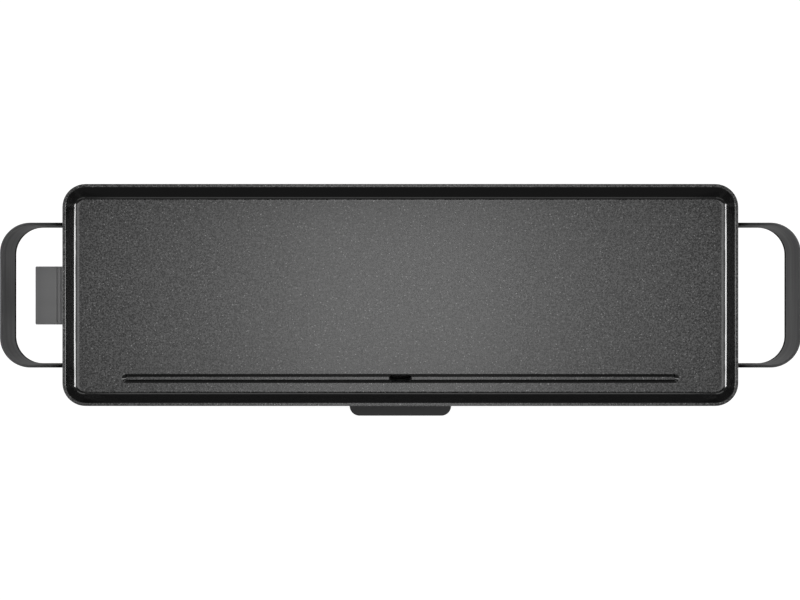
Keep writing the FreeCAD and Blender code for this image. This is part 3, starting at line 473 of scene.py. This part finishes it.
@dataclass(frozen=True)
class HandleCoat(Finish):
    """Satin coat of the strip handles, with painted shade near the plate, where the rim shades the arms,
    and along the lower edge.
    """

    colour: Triple = (0.14, 0.14, 0.141)
    # Near-black colour of the painted shade.
    scorched: Triple = (0.004, 0.004, 0.004)
    gloss: float = 0.5
    shine: float = 0.05
    # Along X the painted shade is full up to dark_until, lighter by dim_from and gone by light_from.
    dark_until: float = 354 * MM
    dim_from: float = 370 * MM
    light_from: float = 404 * MM
    dim_share: float = 0.45
    edge_band: float = 2.8 * MM
    line_mm: float = 3.4
    line_band: Band = (0.3, 0.7)
    lay: Triple = (0.02, 0.02, 1.0)
    cloud_mm: float = 24.0
    cloud_share: float = 0.2
    burnt_dulling: float = 0.4
    peel_mm: float = 0.9
    peel_depth_mm: float = 0.01

    def _burnt(self, paint: Paint) -> Value:
        """Marks where shade is painted on a handle: the arms near the plate, where the rim shades them,
        and a dark line along the lower edge.

        Args:
            paint: The material's nodes.

        Returns:
            The mask, 1 near the plate and along the lower edge and 0 at the far end of the loop.
        """
        # Painted shade: the arms are darkened near the plate as if in the rim's shadow.
        reach = paint.along("X").size()
        dim = reach.step(self.dark_until, self.dim_from) * self.dim_share
        clear = dim + reach.step(self.dim_from, self.light_from) * (1 - self.dim_share)
        # Painted shade: a dark line along the lower edge, as if in shadow.
        edge = HANDLE_UNDERSIDE + self.edge_band
        above = paint.along("Z").step(edge, edge + self.edge_band / 4)
        return 1 - clear * above

    def sockets(self, paint: Paint) -> dict[str, Input]:
        """Makes the nodes of the finish.

        Args:
            paint: The material's nodes.

        Returns:
            The inputs of its Principled shader, by name.
        """
        shade_mask = self._burnt(paint)
        lines = paint.noise(self.line_mm, rough=0.7, where=paint.stretched(self.lay))
        brushed = lines.step(*self.line_band).over(paint.noise(self.cloud_mm), self.cloud_share)
        tone = paint.toned(brushed, self.colour, dark=0.76, light=1.22)
        peel = paint.noise(self.peel_mm, rough=0.55)
        return {
            # The painted shade is mixed into the base colour, and the roughness rises there too.
            "Base Color": paint.mixed(shade_mask, tone, self.scorched),
            "Roughness": peel.about(self.gloss, less=0.06, more=0.06) + shade_mask * self.burnt_dulling,
            "Specular IOR Level": self.shine,
            "Normal": paint.bump(peel, self.peel_depth_mm),
        }


@dataclass(frozen=True)
class MouldedPlastic(Finish):
    """Injection-moulded plastic with a spark-eroded grain and faint flow marks, and optional painted
    light that lightens it towards its outer end.
    """

    colour: Triple = (0.35, 0.35, 0.353)
    gloss: float = 0.5
    # Painted light: the plastic is made lighter towards its outer end, where the handle's shadow falls,
    # to cancel that shadow.
    rubbed: float = 0.0
    rubbed_from: float = 370 * MM
    rubbed_to: float = 397 * MM
    grain_mm: float = 0.5
    grain_share: float = 0.3
    grain_depth_mm: float = 0.012
    pit_pitch_grains: float = 1.6
    pit_band: Band = (0.05, 0.4)
    pit_relief: float = 0.4
    flow_mm: float = 3.0
    lay: Triple = (0.02, 0.3, 0.3)

    def sockets(self, paint: Paint) -> dict[str, Input]:
        """Makes the nodes of the finish.

        Args:
            paint: The material's nodes.

        Returns:
            The inputs of its Principled shader, by name.
        """
        flow = paint.noise(self.flow_mm, where=paint.stretched(self.lay))
        grain = paint.noise(self.grain_mm, detail=2.0, rough=0.6)
        pits = 1 - paint.cells(self.grain_mm * self.pit_pitch_grains).step(*self.pit_band)
        colour = paint.toned(flow.over(grain, self.grain_share), self.colour, dark=0.86, light=1.14)
        # Painted light: whiter towards the outer end, against the handle's shadow.
        if self.rubbed > 0:
            outward = paint.along("X").size().step(self.rubbed_from, self.rubbed_to)
            colour = paint.mixed(outward * self.rubbed, colour, grey(1.0))
        return {
            "Base Color": colour,
            "Roughness": grain.about(self.gloss, less=0.05, more=0.07),
            "Normal": paint.bump(grain - pits * self.pit_relief, self.grain_depth_mm),
        }


class Lay(Enum):
    """The way that a metal's drawing or rolling lines run, as the stretch of its noise."""

    ALONG_X = (0.03, 1.0, 1.0)
    ALONG_Y = (1.0, 0.03, 1.0)
    ALONG_Z = (1.0, 1.0, 0.03)
    NONE = (1.0, 1.0, 1.0)


@dataclass(frozen=True)
class BareMetal(Finish):
    """Metal with lines from drawing or rolling, and dull patches."""

    colour: Triple = (0.6, 0.6, 0.59)
    stain: Triple = (0.42, 0.41, 0.39)
    gloss: float = 0.3
    lay: Lay = Lay.ALONG_X
    line_mm: float = 0.35
    line_share: float = 0.3
    line_depth_mm: float = 0.004
    stain_mm: float = 14.0
    stain_band: Band = (0.5, 0.72)
    stain_dulling: float = 0.1

    def sockets(self, paint: Paint) -> dict[str, Input]:
        """Makes the nodes of the finish.

        Args:
            paint: The material's nodes.

        Returns:
            The inputs of its Principled shader, by name.
        """
        lines = paint.noise(self.line_mm, rough=0.6, where=paint.stretched(self.lay.value))
        stains = paint.noise(self.stain_mm, detail=4.0, rough=0.6).step(*self.stain_band)
        return {
            "Base Color": paint.mixed(stains.over(lines, self.line_share), self.colour, self.stain),
            "Roughness": lines.about(self.gloss, less=0.06, more=0.08) + stains * self.stain_dulling,
            "Metallic": 1.0,
            "Normal": paint.bump(lines, self.line_depth_mm),
        }


@dataclass(frozen=True)
class HeatedSteel(Finish):
    """Steel sheath with straw, brown and blue temper colours under a dark oxide."""

    gloss: float = 0.42
    oxide: Triple = (0.05, 0.045, 0.04)
    oxide_mm: float = 0.9
    oxide_band: Band = (0.55, 0.75)
    oxide_share: float = 0.6
    oxide_depth_mm: float = 0.02
    temper_mm: float = 38.0
    temper: Stops = (
        (0.30, (0.16, 0.14, 0.12)),
        (0.42, (0.20, 0.13, 0.07)),
        (0.52, (0.11, 0.09, 0.12)),
        (0.64, (0.10, 0.13, 0.18)),
        (0.75, (0.24, 0.22, 0.19)),
    )

    def sockets(self, paint: Paint) -> dict[str, Input]:
        """Makes the nodes of the finish.

        Args:
            paint: The material's nodes.

        Returns:
            The inputs of its Principled shader, by name.
        """
        temper = paint.ramp(paint.noise(self.temper_mm, rough=0.55), self.temper)
        scale = paint.noise(self.oxide_mm, detail=4.0, rough=0.65)
        covered = scale.step(*self.oxide_band) * self.oxide_share
        return {
            "Base Color": paint.mixed(covered, temper, self.oxide),
            "Roughness": scale.about(self.gloss, less=0.1, more=0.18),
            "Metallic": 0.85,
            "Normal": paint.bump(scale, self.oxide_depth_mm),
        }


@dataclass(frozen=True)
class Mineral(Finish):
    """Dense fired or pressed material, such as a ceramic seal or a brown thermoset."""

    colour: Triple
    fleck: Triple
    gloss: float = 0.55
    body_mm: float = 2.2
    fleck_mm: float = 0.9
    fleck_band: Band = (0.12, 0.3)
    fleck_share: float = 0.5
    fleck_relief: float = 0.3
    depth_mm: float = 0.02

    def sockets(self, paint: Paint) -> dict[str, Input]:
        """Makes the nodes of the finish.

        Args:
            paint: The material's nodes.

        Returns:
            The inputs of its Principled shader, by name.
        """
        body = paint.noise(self.body_mm, detail=4.0, rough=0.6)
        flecks = 1 - paint.cells(self.fleck_mm).step(*self.fleck_band)
        tone = paint.toned(body, self.colour, dark=0.85, light=1.0)
        return {
            "Base Color": paint.mixed(flecks * self.fleck_share, tone, self.fleck),
            "Roughness": body.about(self.gloss, less=0.08, more=0.1),
            "Normal": paint.bump(body - flecks * self.fleck_relief, self.depth_mm),
        }


@dataclass(frozen=True)
class Rubber(Finish):
    """Matt rubber with a fine moulded skin and a pale bloom."""

    colour: Triple = (0.018, 0.018, 0.018)
    bloom_mm: float = 5.0
    bloom_band: Band = (0.45, 0.8)
    skin_mm: float = 0.35
    skin_depth_mm: float = 0.02

    def sockets(self, paint: Paint) -> dict[str, Input]:
        """Makes the nodes of the finish.

        Args:
            paint: The material's nodes.

        Returns:
            The inputs of its Principled shader, by name.
        """
        bloom = paint.noise(self.bloom_mm, detail=4.0, rough=0.6).step(*self.bloom_band)
        skin = paint.noise(self.skin_mm, detail=2.0)
        return {
            "Base Color": paint.toned(bloom, self.colour, dark=1.0, light=2.0),
            "Roughness": skin.between(0.68, 0.86),
            "Normal": paint.bump(skin, self.skin_depth_mm),
        }


@dataclass(frozen=True)
class Enamel(Finish):
    """Smooth glassy enamel with tiny pinholes and a slow waviness."""

    colour: Triple = (0.012, 0.012, 0.0125)
    pinhole: Triple = (0.07, 0.07, 0.07)
    gloss: float = 0.2
    wave_mm: float = 7.0
    wave_share: float = 0.2
    wave_strength: float = 0.5
    wave_depth_mm: float = 0.05
    pinhole_pitch_mm: float = 3.1
    pinhole_band: Band = (0.03, 0.09)
    pinhole_dulling: float = 0.3
    pinhole_depth_mm: float = 0.01

    def sockets(self, paint: Paint) -> dict[str, Input]:
        """Makes the nodes of the finish.

        Args:
            paint: The material's nodes.

        Returns:
            The inputs of its Principled shader, by name.
        """
        wave = paint.noise(self.wave_mm, detail=2.0)
        pins = 1 - paint.cells(self.pinhole_pitch_mm).step(*self.pinhole_band)
        pitted = paint.bump(pins, self.pinhole_depth_mm)
        return {
            "Base Color": paint.mixed(pins.over(wave, self.wave_share), self.colour, self.pinhole),
            "Roughness": wave.about(self.gloss, less=0.04, more=0.08) + pins * self.pinhole_dulling,
            "Normal": paint.bump(wave, self.wave_depth_mm, strength=self.wave_strength, under=pitted),
        }


@dataclass(frozen=True)
class ClearMoulding(Finish):
    """Tinted clear plastic or glass with faint flow lines."""

    colour: Triple
    transmission: float
    glow: float = 0.0
    flow_mm: float = 1.4

    def sockets(self, paint: Paint) -> dict[str, Input]:
        """Makes the nodes of the finish.

        Args:
            paint: The material's nodes.

        Returns:
            The inputs of its Principled shader, by name.
        """
        flow = paint.noise(self.flow_mm)
        colour = paint.toned(flow, self.colour, dark=0.8, light=1.0)
        return {
            "Base Color": colour,
            "Roughness": flow.between(0.08, 0.2),
            "Transmission Weight": self.transmission,
            "IOR": 1.5,
            "Emission Color": colour,
            "Emission Strength": self.glow,
        }


@dataclass(frozen=True)
class PadInk(Finish):
    """Pale pad-printed ink, slightly worn through to the plastic below."""

    colour: Triple = (0.62, 0.62, 0.6)
    below: Triple = (0.2, 0.2, 0.2)
    wear_mm: float = 0.5
    wear_band: Band = (0.58, 0.76)
    wear_share: float = 0.6
    depth_mm: float = 0.006

    def sockets(self, paint: Paint) -> dict[str, Input]:
        """Makes the nodes of the finish.

        Args:
            paint: The material's nodes.

        Returns:
            The inputs of its Principled shader, by name.
        """
        wear = paint.noise(self.wear_mm, detail=4.0, rough=0.65).step(*self.wear_band)
        return {
            "Base Color": paint.mixed(wear * self.wear_share, self.colour, self.below),
            "Roughness": wear.between(0.42, 0.6),
            "Normal": paint.bump(wear, self.depth_mm),
        }


@dataclass(frozen=True)
class StudioFloor(Finish):
    """The pale table, which gives off a little light of its own so that shadows stay faint."""

    colour: Triple = (0.4, 0.4, 0.4)
    glow: float = 2.25
    cloud_mm: float = 400.0

    def sockets(self, paint: Paint) -> dict[str, Input]:
        """Makes the nodes of the finish.

        Args:
            paint: The material's nodes.

        Returns:
            The inputs of its Principled shader, by name.
        """
        cloud = paint.noise(self.cloud_mm, detail=2.0)
        colour = paint.toned(cloud, self.colour, dark=0.985, light=1.0)
        return {
            "Base Color": colour,
            "Roughness": 0.9,
            "Emission Color": colour,
            "Emission Strength": self.glow,
        }


def dress_node(node: str, material: bpy.types.Material) -> None:
    """Gives a CAD node its finish.

    Args:
        node: The node's name.
        material: The finish.
    """
    piece = frame["nodes"][node]
    if not piece.material_slots:
        piece.data.materials.append(material)
    for slot in piece.material_slots:
        slot.material = material
    LOG.info("finish %-24s %s", node, material.name)


class Dresser:
    """Keeps one material per record slot and hands it to the slot's nodes."""

    finishes: Mapping[str, Finish] = {
        "griddle_coating": SpeckledCoating(),
        "base_enamel": PowderCoat(),
        "handle_coat": HandleCoat(),
        "element_sheath": HeatedSteel(),
        "ceramic_seal": Mineral(colour=(0.8, 0.78, 0.72), fleck=(0.5, 0.47, 0.42)),
        "bright_sheet": BareMetal(colour=(0.66, 0.66, 0.65), stain=(0.5, 0.49, 0.47), gloss=0.34),
        "drain_metal": BareMetal(colour=(0.55, 0.55, 0.55), lay=Lay.ALONG_Z, gloss=0.36),
        "runner_metal": BareMetal(colour=(0.6, 0.6, 0.61), lay=Lay.ALONG_Y, gloss=0.32),
        "zinc_hardware": BareMetal(colour=(0.58, 0.58, 0.55), stain=(0.46, 0.44, 0.36), lay=Lay.NONE),
        "black_hardware": BareMetal(colour=(0.06, 0.06, 0.062), stain=(0.03, 0.03, 0.03), lay=Lay.NONE),
        "plug_pins": BareMetal(colour=(0.72, 0.69, 0.62), stain=(0.5, 0.47, 0.4), gloss=0.22),
        "probe_steel": BareMetal(colour=(0.62, 0.62, 0.61), stain=(0.5, 0.46, 0.4), gloss=0.24),
        "tray_enamel": Enamel(),
        "drawer_plastic": MouldedPlastic(colour=(0.05, 0.05, 0.0505), gloss=0.5),
        "foot_rubber": Rubber(),
        "controller_plastic": MouldedPlastic(rubbed=0.06),
        "insulator_moulding": Mineral(colour=(0.13, 0.06, 0.03), fleck=(0.25, 0.16, 0.1), gloss=0.4),
        "dial_plastic": MouldedPlastic(colour=(0.02, 0.02, 0.0205), gloss=0.34, grain_depth_mm=0.006),
        "lamp_glass": ClearMoulding(colour=(0.95, 0.42, 0.12), transmission=0.6, glow=0.25),
        "lens_plastic": ClearMoulding(colour=(0.7, 0.05, 0.03), transmission=0.55, glow=0.06),
        "print_ink": PadInk(),
    }

    def __init__(self) -> None:
        """Builds every material once."""
        self.materials = {slot: finish.material(slot) for slot, finish in self.finishes.items()}

    def dress_nodes(self) -> None:
        """Gives each CAD node the finish that the record names for it."""
        for row in frame["record"]["subparts"]:
            dress_node(row["node"], self.materials[row["material_slot"]])

    def dress_piece(self, piece: bpy.types.Object, slot: str, material: str | None = None) -> None:
        """Gives a new piece its finish.

        Args:
            piece: The piece.
            slot: The record's slot that it belongs to.
            material: A finish of its own, where it differs from the slot's.
        """
        piece.data.materials.clear()
        piece.data.materials.append(self.materials[material or slot])


def deselect() -> None:
    """Leaves nothing selected in object mode."""
    bpy.ops.object.select_all(action="DESELECT")


def only(piece: bpy.types.Object) -> None:
    """Selects one object and makes it active."""
    deselect()
    piece.select_set(True)
    bpy.context.view_layer.objects.active = piece


def active() -> bpy.types.Object:
    """The active object, which is the one just made."""
    return bpy.context.view_layer.objects.active


def settle(piece: bpy.types.Object, name: str) -> bpy.types.Object:
    """Names a piece and moves its place into its mesh.

    Args:
        piece: The new object.
        name: The piece's name.

    Returns:
        The same object, unturned and unscaled at the origin.
    """
    only(piece)
    if piece.type != "MESH":
        bpy.ops.object.convert(target="MESH")
        piece = active()
    bpy.ops.object.transform_apply(location=True, rotation=True, scale=True)
    piece.name = name
    piece.data.name = name
    return piece


def edit(piece: bpy.types.Object, kind: str, wanted: Callable[[object], bool]) -> None:
    """Enters edit mode with some faces or corners selected.

    Args:
        piece: The mesh object.
        kind: FACE or VERT.
        wanted: Says of each face or corner whether it is selected.
    """
    only(piece)
    bpy.ops.object.mode_set(mode="EDIT")
    bpy.ops.mesh.select_mode(type=kind)
    shape = bmesh.from_edit_mesh(piece.data)
    for element in shape.faces if kind == "FACE" else shape.verts:
        element.select_set(bool(wanted(element)))
    shape.select_flush_mode()
    bmesh.update_edit_mesh(piece.data)


def leave_edit() -> None:
    """Back to object mode."""
    bpy.ops.object.mode_set(mode="OBJECT")


def joined(pieces: Sequence[bpy.types.Object], name: str) -> bpy.types.Object:
    """Several meshes as one object.

    Args:
        pieces: The objects, which must be meshes.
        name: The new name.

    Returns:
        The joined object.
    """
    only(pieces[0])
    for piece in pieces:
        piece.select_set(True)
    bpy.ops.object.join()
    return settle(active(), name)


def middle_of(node: str) -> Vector:
    """The middle of a CAD node's box."""
    low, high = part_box(node)
    return (low + high) / 2


# Each turns a piece drawn in its own XY plane: Z points out of the face and Y points up.
FACING_LEFT = Matrix(((0, 0, -1), (-1, 0, 0), (0, 1, 0))).to_4x4()
FACING_BACK = Matrix(((-1, 0, 0), (0, 0, 1), (0, 1, 0))).to_4x4()


@dataclass
class RaisedRing:
    """A low moulded or pressed ring, round or slot-shaped, in metres."""

    inner: float
    band: float
    relief: float
    sunk: float = 0.2 * MM
    half_straight: float = 0.0
    points: int = 48
    rounding: float = 0.9
    tolerance: float = 1e-6

    def build(self, name: str, place: Matrix) -> bpy.types.Object:
        """Makes one ring.

        Args:
            name: The ring's name.
            place: Where it goes: its own Z axis points out of the surface that carries it.

        Returns:
            The ring as a mesh.
        """
        deselect()
        outer = self.inner + self.band
        bpy.ops.mesh.primitive_circle_add(vertices=self.points, radius=outer, fill_type="NGON")
        ring = active()
        for side in (-1, 1):
            edit(ring, "VERT", lambda vert: vert.co.x * side > self.tolerance)
            bpy.ops.transform.translate(value=(side * self.half_straight, 0, 0))
            leave_edit()
        edit(ring, "VERT", lambda vert: True)
        bpy.ops.mesh.inset(thickness=self.band)
        bpy.ops.mesh.delete(type="FACE")
        bpy.ops.mesh.select_all(action="SELECT")
        bpy.ops.transform.translate(value=(0, 0, -self.sunk))
        rise = (0, 0, self.sunk + self.relief)
        bpy.ops.mesh.extrude_region_move(TRANSFORM_OT_translate={"value": rise})
        leave_edit()
        self._round_top(ring)
        ring.matrix_world = place
        return settle(ring, name)

    def _round_top(self, ring: bpy.types.Object) -> None:
        """Rounds the two upper edges of the ring.

        Args:
            ring: The ring, flat at the origin.
        """
        top = self.relief - self.tolerance
        edit(ring, "FACE", lambda face: all(vert.co.z > top for vert in face.verts))
        bpy.ops.mesh.region_to_loop()
        bpy.ops.mesh.bevel(offset=min(self.relief, self.band / 2) * self.rounding, segments=3)
        bpy.ops.mesh.select_all(action="SELECT")
        bpy.ops.mesh.remove_doubles(threshold=self.tolerance)
        bpy.ops.mesh.normals_make_consistent(inside=False)
        leave_edit()


def copied(piece: bpy.types.Object, offset: Triple) -> bpy.types.Object:
    """A copy of a piece with its own mesh, moved aside.

    Args:
        piece: The piece, settled at the origin.
        offset: How far the copy goes.

    Returns:
        The copy.
    """
    only(piece)
    bpy.ops.object.duplicate(linked=False)
    copy = active()
    copy.location = offset
    return settle(copy, f"{piece.name}_copy")


@dataclass
class VentLips:
    """The pressed lips round the cooling slots in the back wall, in metres."""

    slots: int = 13
    pitch: float = 44.0 * MM
    slot_length: float = 28.0 * MM
    slot_width: float = 3.6 * MM
    below_rim: float = 26.0 * MM
    edge_gap: float = 0.05 * MM
    band: float = 1.1 * MM
    relief: float = 0.45 * MM

    def build(self, dresser: Dresser) -> None:
        """Makes one lip and copies it along the row.

        Args:
            dresser: The keeper of the finishes.
        """
        lip = RaisedRing(
            inner=self.slot_width / 2 + self.edge_gap,
            band=self.band,
            relief=self.relief,
            half_straight=(self.slot_length - self.slot_width) / 2,
        )
        wall_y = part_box("base_pan")[1].y
        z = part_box("griddle_plate")[1].z - self.below_rim
        first_x = -self.pitch * (self.slots - 1) / 2
        first = lip.build("vent_lip", Matrix.Translation((first_x, wall_y, z)) @ FACING_BACK)
        rest = [copied(first, (index * self.pitch, 0.0, 0.0)) for index in range(1, self.slots)]
        lips = joined([first, *rest], "vent_lips")
        dresser.dress_piece(lips, "base_enamel")
        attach(lips, "base")
        LOG.info("built vent_lips")


@dataclass
class FittingRims:
    """The moulded rims round the lamp's lens and the gland's mouth on the end face, in metres."""

    lens: RaisedRing = field(
        default_factory=lambda: RaisedRing(inner=2.55 * MM, band=1.1 * MM, relief=0.5 * MM)
    )
    gland: RaisedRing = field(
        default_factory=lambda: RaisedRing(inner=5.05 * MM, band=1.2 * MM, relief=0.5 * MM, points=64)
    )

    def build(self, dresser: Dresser) -> None:
        """Makes both rims.

        Args:
            dresser: The keeper of the finishes.
        """
        face_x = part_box("controller_upper_shell")[0].x
        rims = ((self.lens, "lamp_lens", "lens_rim"), (self.gland, "cord_gland", "gland_rim"))
        for ring, node, name in rims:
            middle = middle_of(node)
            rim = ring.build(name, Matrix.Translation((face_x, middle.y, middle.z)) @ FACING_LEFT)
            dresser.dress_piece(rim, "controller_plastic")
            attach(rim, "controller")
            LOG.info("built %s", name)


@dataclass
class DialScale:
    """The printed scale on the heat dial's ring, in metres."""

    ring_inner: float = 10.5 * MM
    ring_outer: float = 13.5 * MM
    levels: int = 6
    sweep_deg: float = 270.0
    figure_height: float = 2.1 * MM
    text_size_per_height: float = 1.35
    curve_steps: int = 4
    tick_length: float = 0.7 * MM
    tick_width: float = 0.35 * MM
    tick_bevel: float = 0.015 * MM
    ink_height: float = 0.05 * MM
    weld_below: float = 1e-7

    def __post_init__(self) -> None:
        """Finds the dial's face and centre in the frame."""
        self.face_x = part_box("heat_dial")[0].x
        self.centre = middle_of("heat_dial")

    def _place(self, angle: float) -> Matrix:
        """A place on the dial's face, half way across the ring's width.

        Args:
            angle: Clockwise from the top as the user sees it, in radians.

        Returns:
            The place and turn of a piece that is drawn in its own XY plane.
        """
        radius = (self.ring_inner + self.ring_outer) / 2
        y = self.centre.y - radius * math.sin(angle)
        z = self.centre.z + radius * math.cos(angle)
        return Matrix.Translation((self.face_x, y, z)) @ FACING_LEFT @ Matrix.Rotation(-angle, 4, "Z")

    def _figure(self, text: str, angle: float) -> bpy.types.Object:
        """One figure on the ring.

        Args:
            text: The figure.
            angle: Its place, clockwise from the top, in radians.

        Returns:
            The figure as a mesh.
        """
        deselect()
        bpy.ops.object.text_add()
        figure = active()
        figure.data.body = text
        figure.data.align_x = "CENTER"
        figure.data.align_y = "CENTER"
        figure.data.size = self.figure_height * self.text_size_per_height
        figure.data.extrude = self.ink_height / 2
        figure.data.resolution_u = self.curve_steps
        figure.matrix_world = self._place(angle)
        figure = settle(figure, f"figure_{text}")
        edit(figure, "FACE", lambda face: True)
        bpy.ops.mesh.remove_doubles(threshold=self.weld_below)
        bpy.ops.mesh.normals_make_consistent(inside=False)
        leave_edit()
        return figure

    def _tick(self, angle: float) -> bpy.types.Object:
        """One short line on the ring, half way between two figures.

        Args:
            angle: Its place, clockwise from the top, in radians.

        Returns:
            The line as a mesh.
        """
        deselect()
        bpy.ops.mesh.primitive_cube_add(size=1)
        tick = active()
        size = Matrix.Diagonal((self.tick_width, self.tick_length, self.ink_height, 1.0))
        tick.matrix_world = self._place(angle) @ size
        tick = settle(tick, "tick")
        edit(tick, "FACE", lambda face: True)
        bpy.ops.mesh.bevel(offset=self.tick_bevel, segments=1)
        leave_edit()
        return tick

    def build(self, dresser: Dresser) -> None:
        """Makes the figures and ticks.

        Args:
            dresser: The keeper of the finishes.
        """
        step = math.radians(self.sweep_deg) / (self.levels - 1)
        figures = [self._figure(str(level), -level * step) for level in range(self.levels)]
        ticks = [self._tick(-(level + 0.5) * step) for level in range(self.levels - 1)]
        scale = joined(figures + ticks, "dial_scale")
        dresser.dress_piece(scale, "dial_plastic", "print_ink")
        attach(scale, "dial")
        LOG.info("built dial_scale")


@dataclass
class IndexMark:
    """A raised arrowhead on the controller's end face, above the dial, in metres."""

    width: float = 2.2 * MM
    height: float = 1.7 * MM
    above_well: float = 0.5 * MM
    well_radius: float = 14.0 * MM
    relief: float = 0.25 * MM
    bevel: float = 0.1 * MM

    def build(self, dresser: Dresser) -> None:
        """Makes the arrowhead.

        Args:
            dresser: The keeper of the finishes.
        """
        dial = middle_of("heat_dial")
        face_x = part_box("controller_upper_shell")[0].x
        tip_z = dial.z + self.well_radius + self.above_well
        deselect()
        bpy.ops.mesh.primitive_cylinder_add(vertices=3, radius=1, depth=1)
        mark = active()
        # A triangle with its corners 1 from the centre is sqrt(3) wide and 1.5 high.
        size = Matrix.Diagonal((self.width / math.sqrt(3), -self.height / 1.5, self.relief, 1.0))
        spot = Matrix.Translation((face_x, dial.y, tip_z + self.height / 2))
        mark.matrix_world = spot @ FACING_LEFT @ size
        mark = settle(mark, "index_mark")
        edit(mark, "FACE", lambda face: True)
        bpy.ops.mesh.normals_make_consistent(inside=False)
        bpy.ops.mesh.bevel(offset=self.bevel, segments=2)
        leave_edit()
        dresser.dress_piece(mark, "controller_plastic", "print_ink")
        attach(mark, "controller")
        LOG.info("built index_mark")


@dataclass
class Softbox:
    """One rectangular studio light, in metres and watts."""

    name: str
    place: Triple
    aim: Triple
    width: float
    depth: float
    power: float

    def build(self) -> None:
        """Adds the light, turned to its aim."""
        data = bpy.data.lights.new(self.name, "AREA")
        data.shape = "RECTANGLE"
        data.size = self.width
        data.size_y = self.depth
        data.energy = self.power
        light = bpy.data.objects.new(self.name, data)
        bpy.context.scene.collection.objects.link(light)
        light.location = self.place
        aim = Vector(self.aim) - Vector(self.place)
        light.rotation_euler = aim.to_track_quat("-Z", "Y").to_euler()
        light.visible_camera = False
        LOG.info("light %s", self.name)


LIGHTS_Y = 9.0 * MM
AIM_HEIGHT = 90.0 * MM
AIM_PAST_MIDDLE = 0.1
OVERHEAD_DEPTH = 0.86
BESIDE_REACH = 1.9
BESIDE_HEIGHT = 1.16
FACING_HEIGHT = 1.4


def overhead(name: str, height: float, width: float, power: float) -> Softbox:
    """A light above the plate that shines straight down."""
    above = (0.0, LIGHTS_Y, height)
    return Softbox(name, above, (0.0, LIGHTS_Y, 0.0), width, OVERHEAD_DEPTH, power)


def beside(name: str, side: int) -> Softbox:
    """A light at the left end, side -1, or the right end, side 1."""
    place = (side * BESIDE_REACH, LIGHTS_Y, BESIDE_HEIGHT)
    aim = (-side * AIM_PAST_MIDDLE, LIGHTS_Y, AIM_HEIGHT)
    return Softbox(name, place, aim, width=0.84, depth=0.9, power=6.7)


def facing(name: str, y: float, power: float) -> Softbox:
    """A long light in front of the grill or behind it."""
    place = (0.0, y, FACING_HEIGHT)
    return Softbox(name, place, (0.0, LIGHTS_Y, AIM_HEIGHT), width=2.6, depth=0.7, power=power)


@dataclass
class Studio:
    """The pale table, the lights and the camera above the plate's middle."""

    camera_above_rim: float = 750.0 * MM
    camera_ahead: float = 10.0 * MM
    lens_mm: float = 32.608
    sensor_mm: float = 36.0
    shift: tuple[float, float] = (-0.00045, 0.00582)
    far_end: float = 100.0
    floor_half: float = 30.0
    backdrop: Triple = (0.78, 0.78, 0.78)
    surroundings: Stops = (
        (0.0, (0.08, 0.08, 0.08)),
        (0.12, (0.08, 0.08, 0.08)),
        (0.35, (0.16, 0.16, 0.16)),
        (0.7, (0.16, 0.16, 0.16)),
        (0.88, (0.05, 0.05, 0.05)),
        (1.0, (0.04, 0.04, 0.04)),
    )
    lights: list[Softbox] = field(
        default_factory=lambda: [
            overhead("overhead_long", height=1.88, width=2.9, power=2.9),
            overhead("overhead_wide", height=1.87, width=1.9, power=1.8),
            overhead("overhead_middle", height=1.86, width=1.24, power=1.25),
            overhead("overhead_core", height=1.85, width=0.7, power=0.72),
            beside("left_side", -1),
            beside("right_side", 1),
            facing("front", y=-1.9, power=2.4),
            facing("back", y=1.92, power=4.4),
        ]
    )

    def _floor(self) -> None:
        """Adds the table top."""
        deselect()
        bpy.ops.mesh.primitive_plane_add(size=2 * self.floor_half)
        floor = active()
        floor.name = "studio_floor"
        floor.data.materials.append(StudioFloor().material("studio_floor"))

    def _world(self) -> None:
        """Dim surroundings, brighter half way up, and a plain pale backdrop behind the grill."""
        world = bpy.data.worlds.new("studio_world")
        world.use_nodes = True
        bpy.context.scene.world = world
        wiring = Wiring(world.node_tree)
        place = wiring.node("ShaderNodeTexCoord", output="Generated")
        height = wiring.node("ShaderNodeSeparateXYZ", {}, {0: place}, "Z")
        glow = wiring.ramp(height, self.surroundings)
        around = wiring.node("ShaderNodeBackground", {}, {"Color": glow})
        behind = wiring.node("ShaderNodeBackground", {}, {"Color": (*self.backdrop, 1.0)})
        seen = wiring.node("ShaderNodeLightPath", output="Is Camera Ray")
        choice = wiring.node("ShaderNodeMixShader", {}, {0: seen, 1: around, 2: behind})
        wiring.close("ShaderNodeOutputWorld", choice)

    def _camera(self) -> None:
        """Adds the camera, looking straight down with +Y up."""
        data = bpy.data.cameras.new("camera")
        data.lens = self.lens_mm
        data.sensor_width = self.sensor_mm
        data.shift_x, data.shift_y = self.shift
        data.clip_end = self.far_end
        camera = bpy.data.objects.new("camera", data)
        bpy.context.scene.collection.objects.link(camera)
        rim_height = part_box("griddle_plate")[1].z
        y = middle_of("griddle_plate").y - self.camera_ahead
        camera.location = (0.0, y, rim_height + self.camera_above_rim)
        bpy.context.scene.camera = camera

    def build(self) -> None:
        """Builds the whole studio."""
        self._camera()
        self._floor()
        self._world()
        for light in self.lights:
            light.build()
        bpy.context.scene.view_settings.view_transform = "Standard"
        LOG.info("studio ready")


def main() -> None:
    """Dresses the grill and builds its studio."""
    studio = Studio()
    studio.build()
    dresser = Dresser()
    dresser.dress_nodes()
    DialScale().build(dresser)
    IndexMark().build(dresser)
    FittingRims().build(dresser)
    VentLips().build(dresser)


if __name__ == "__main__":
    main()
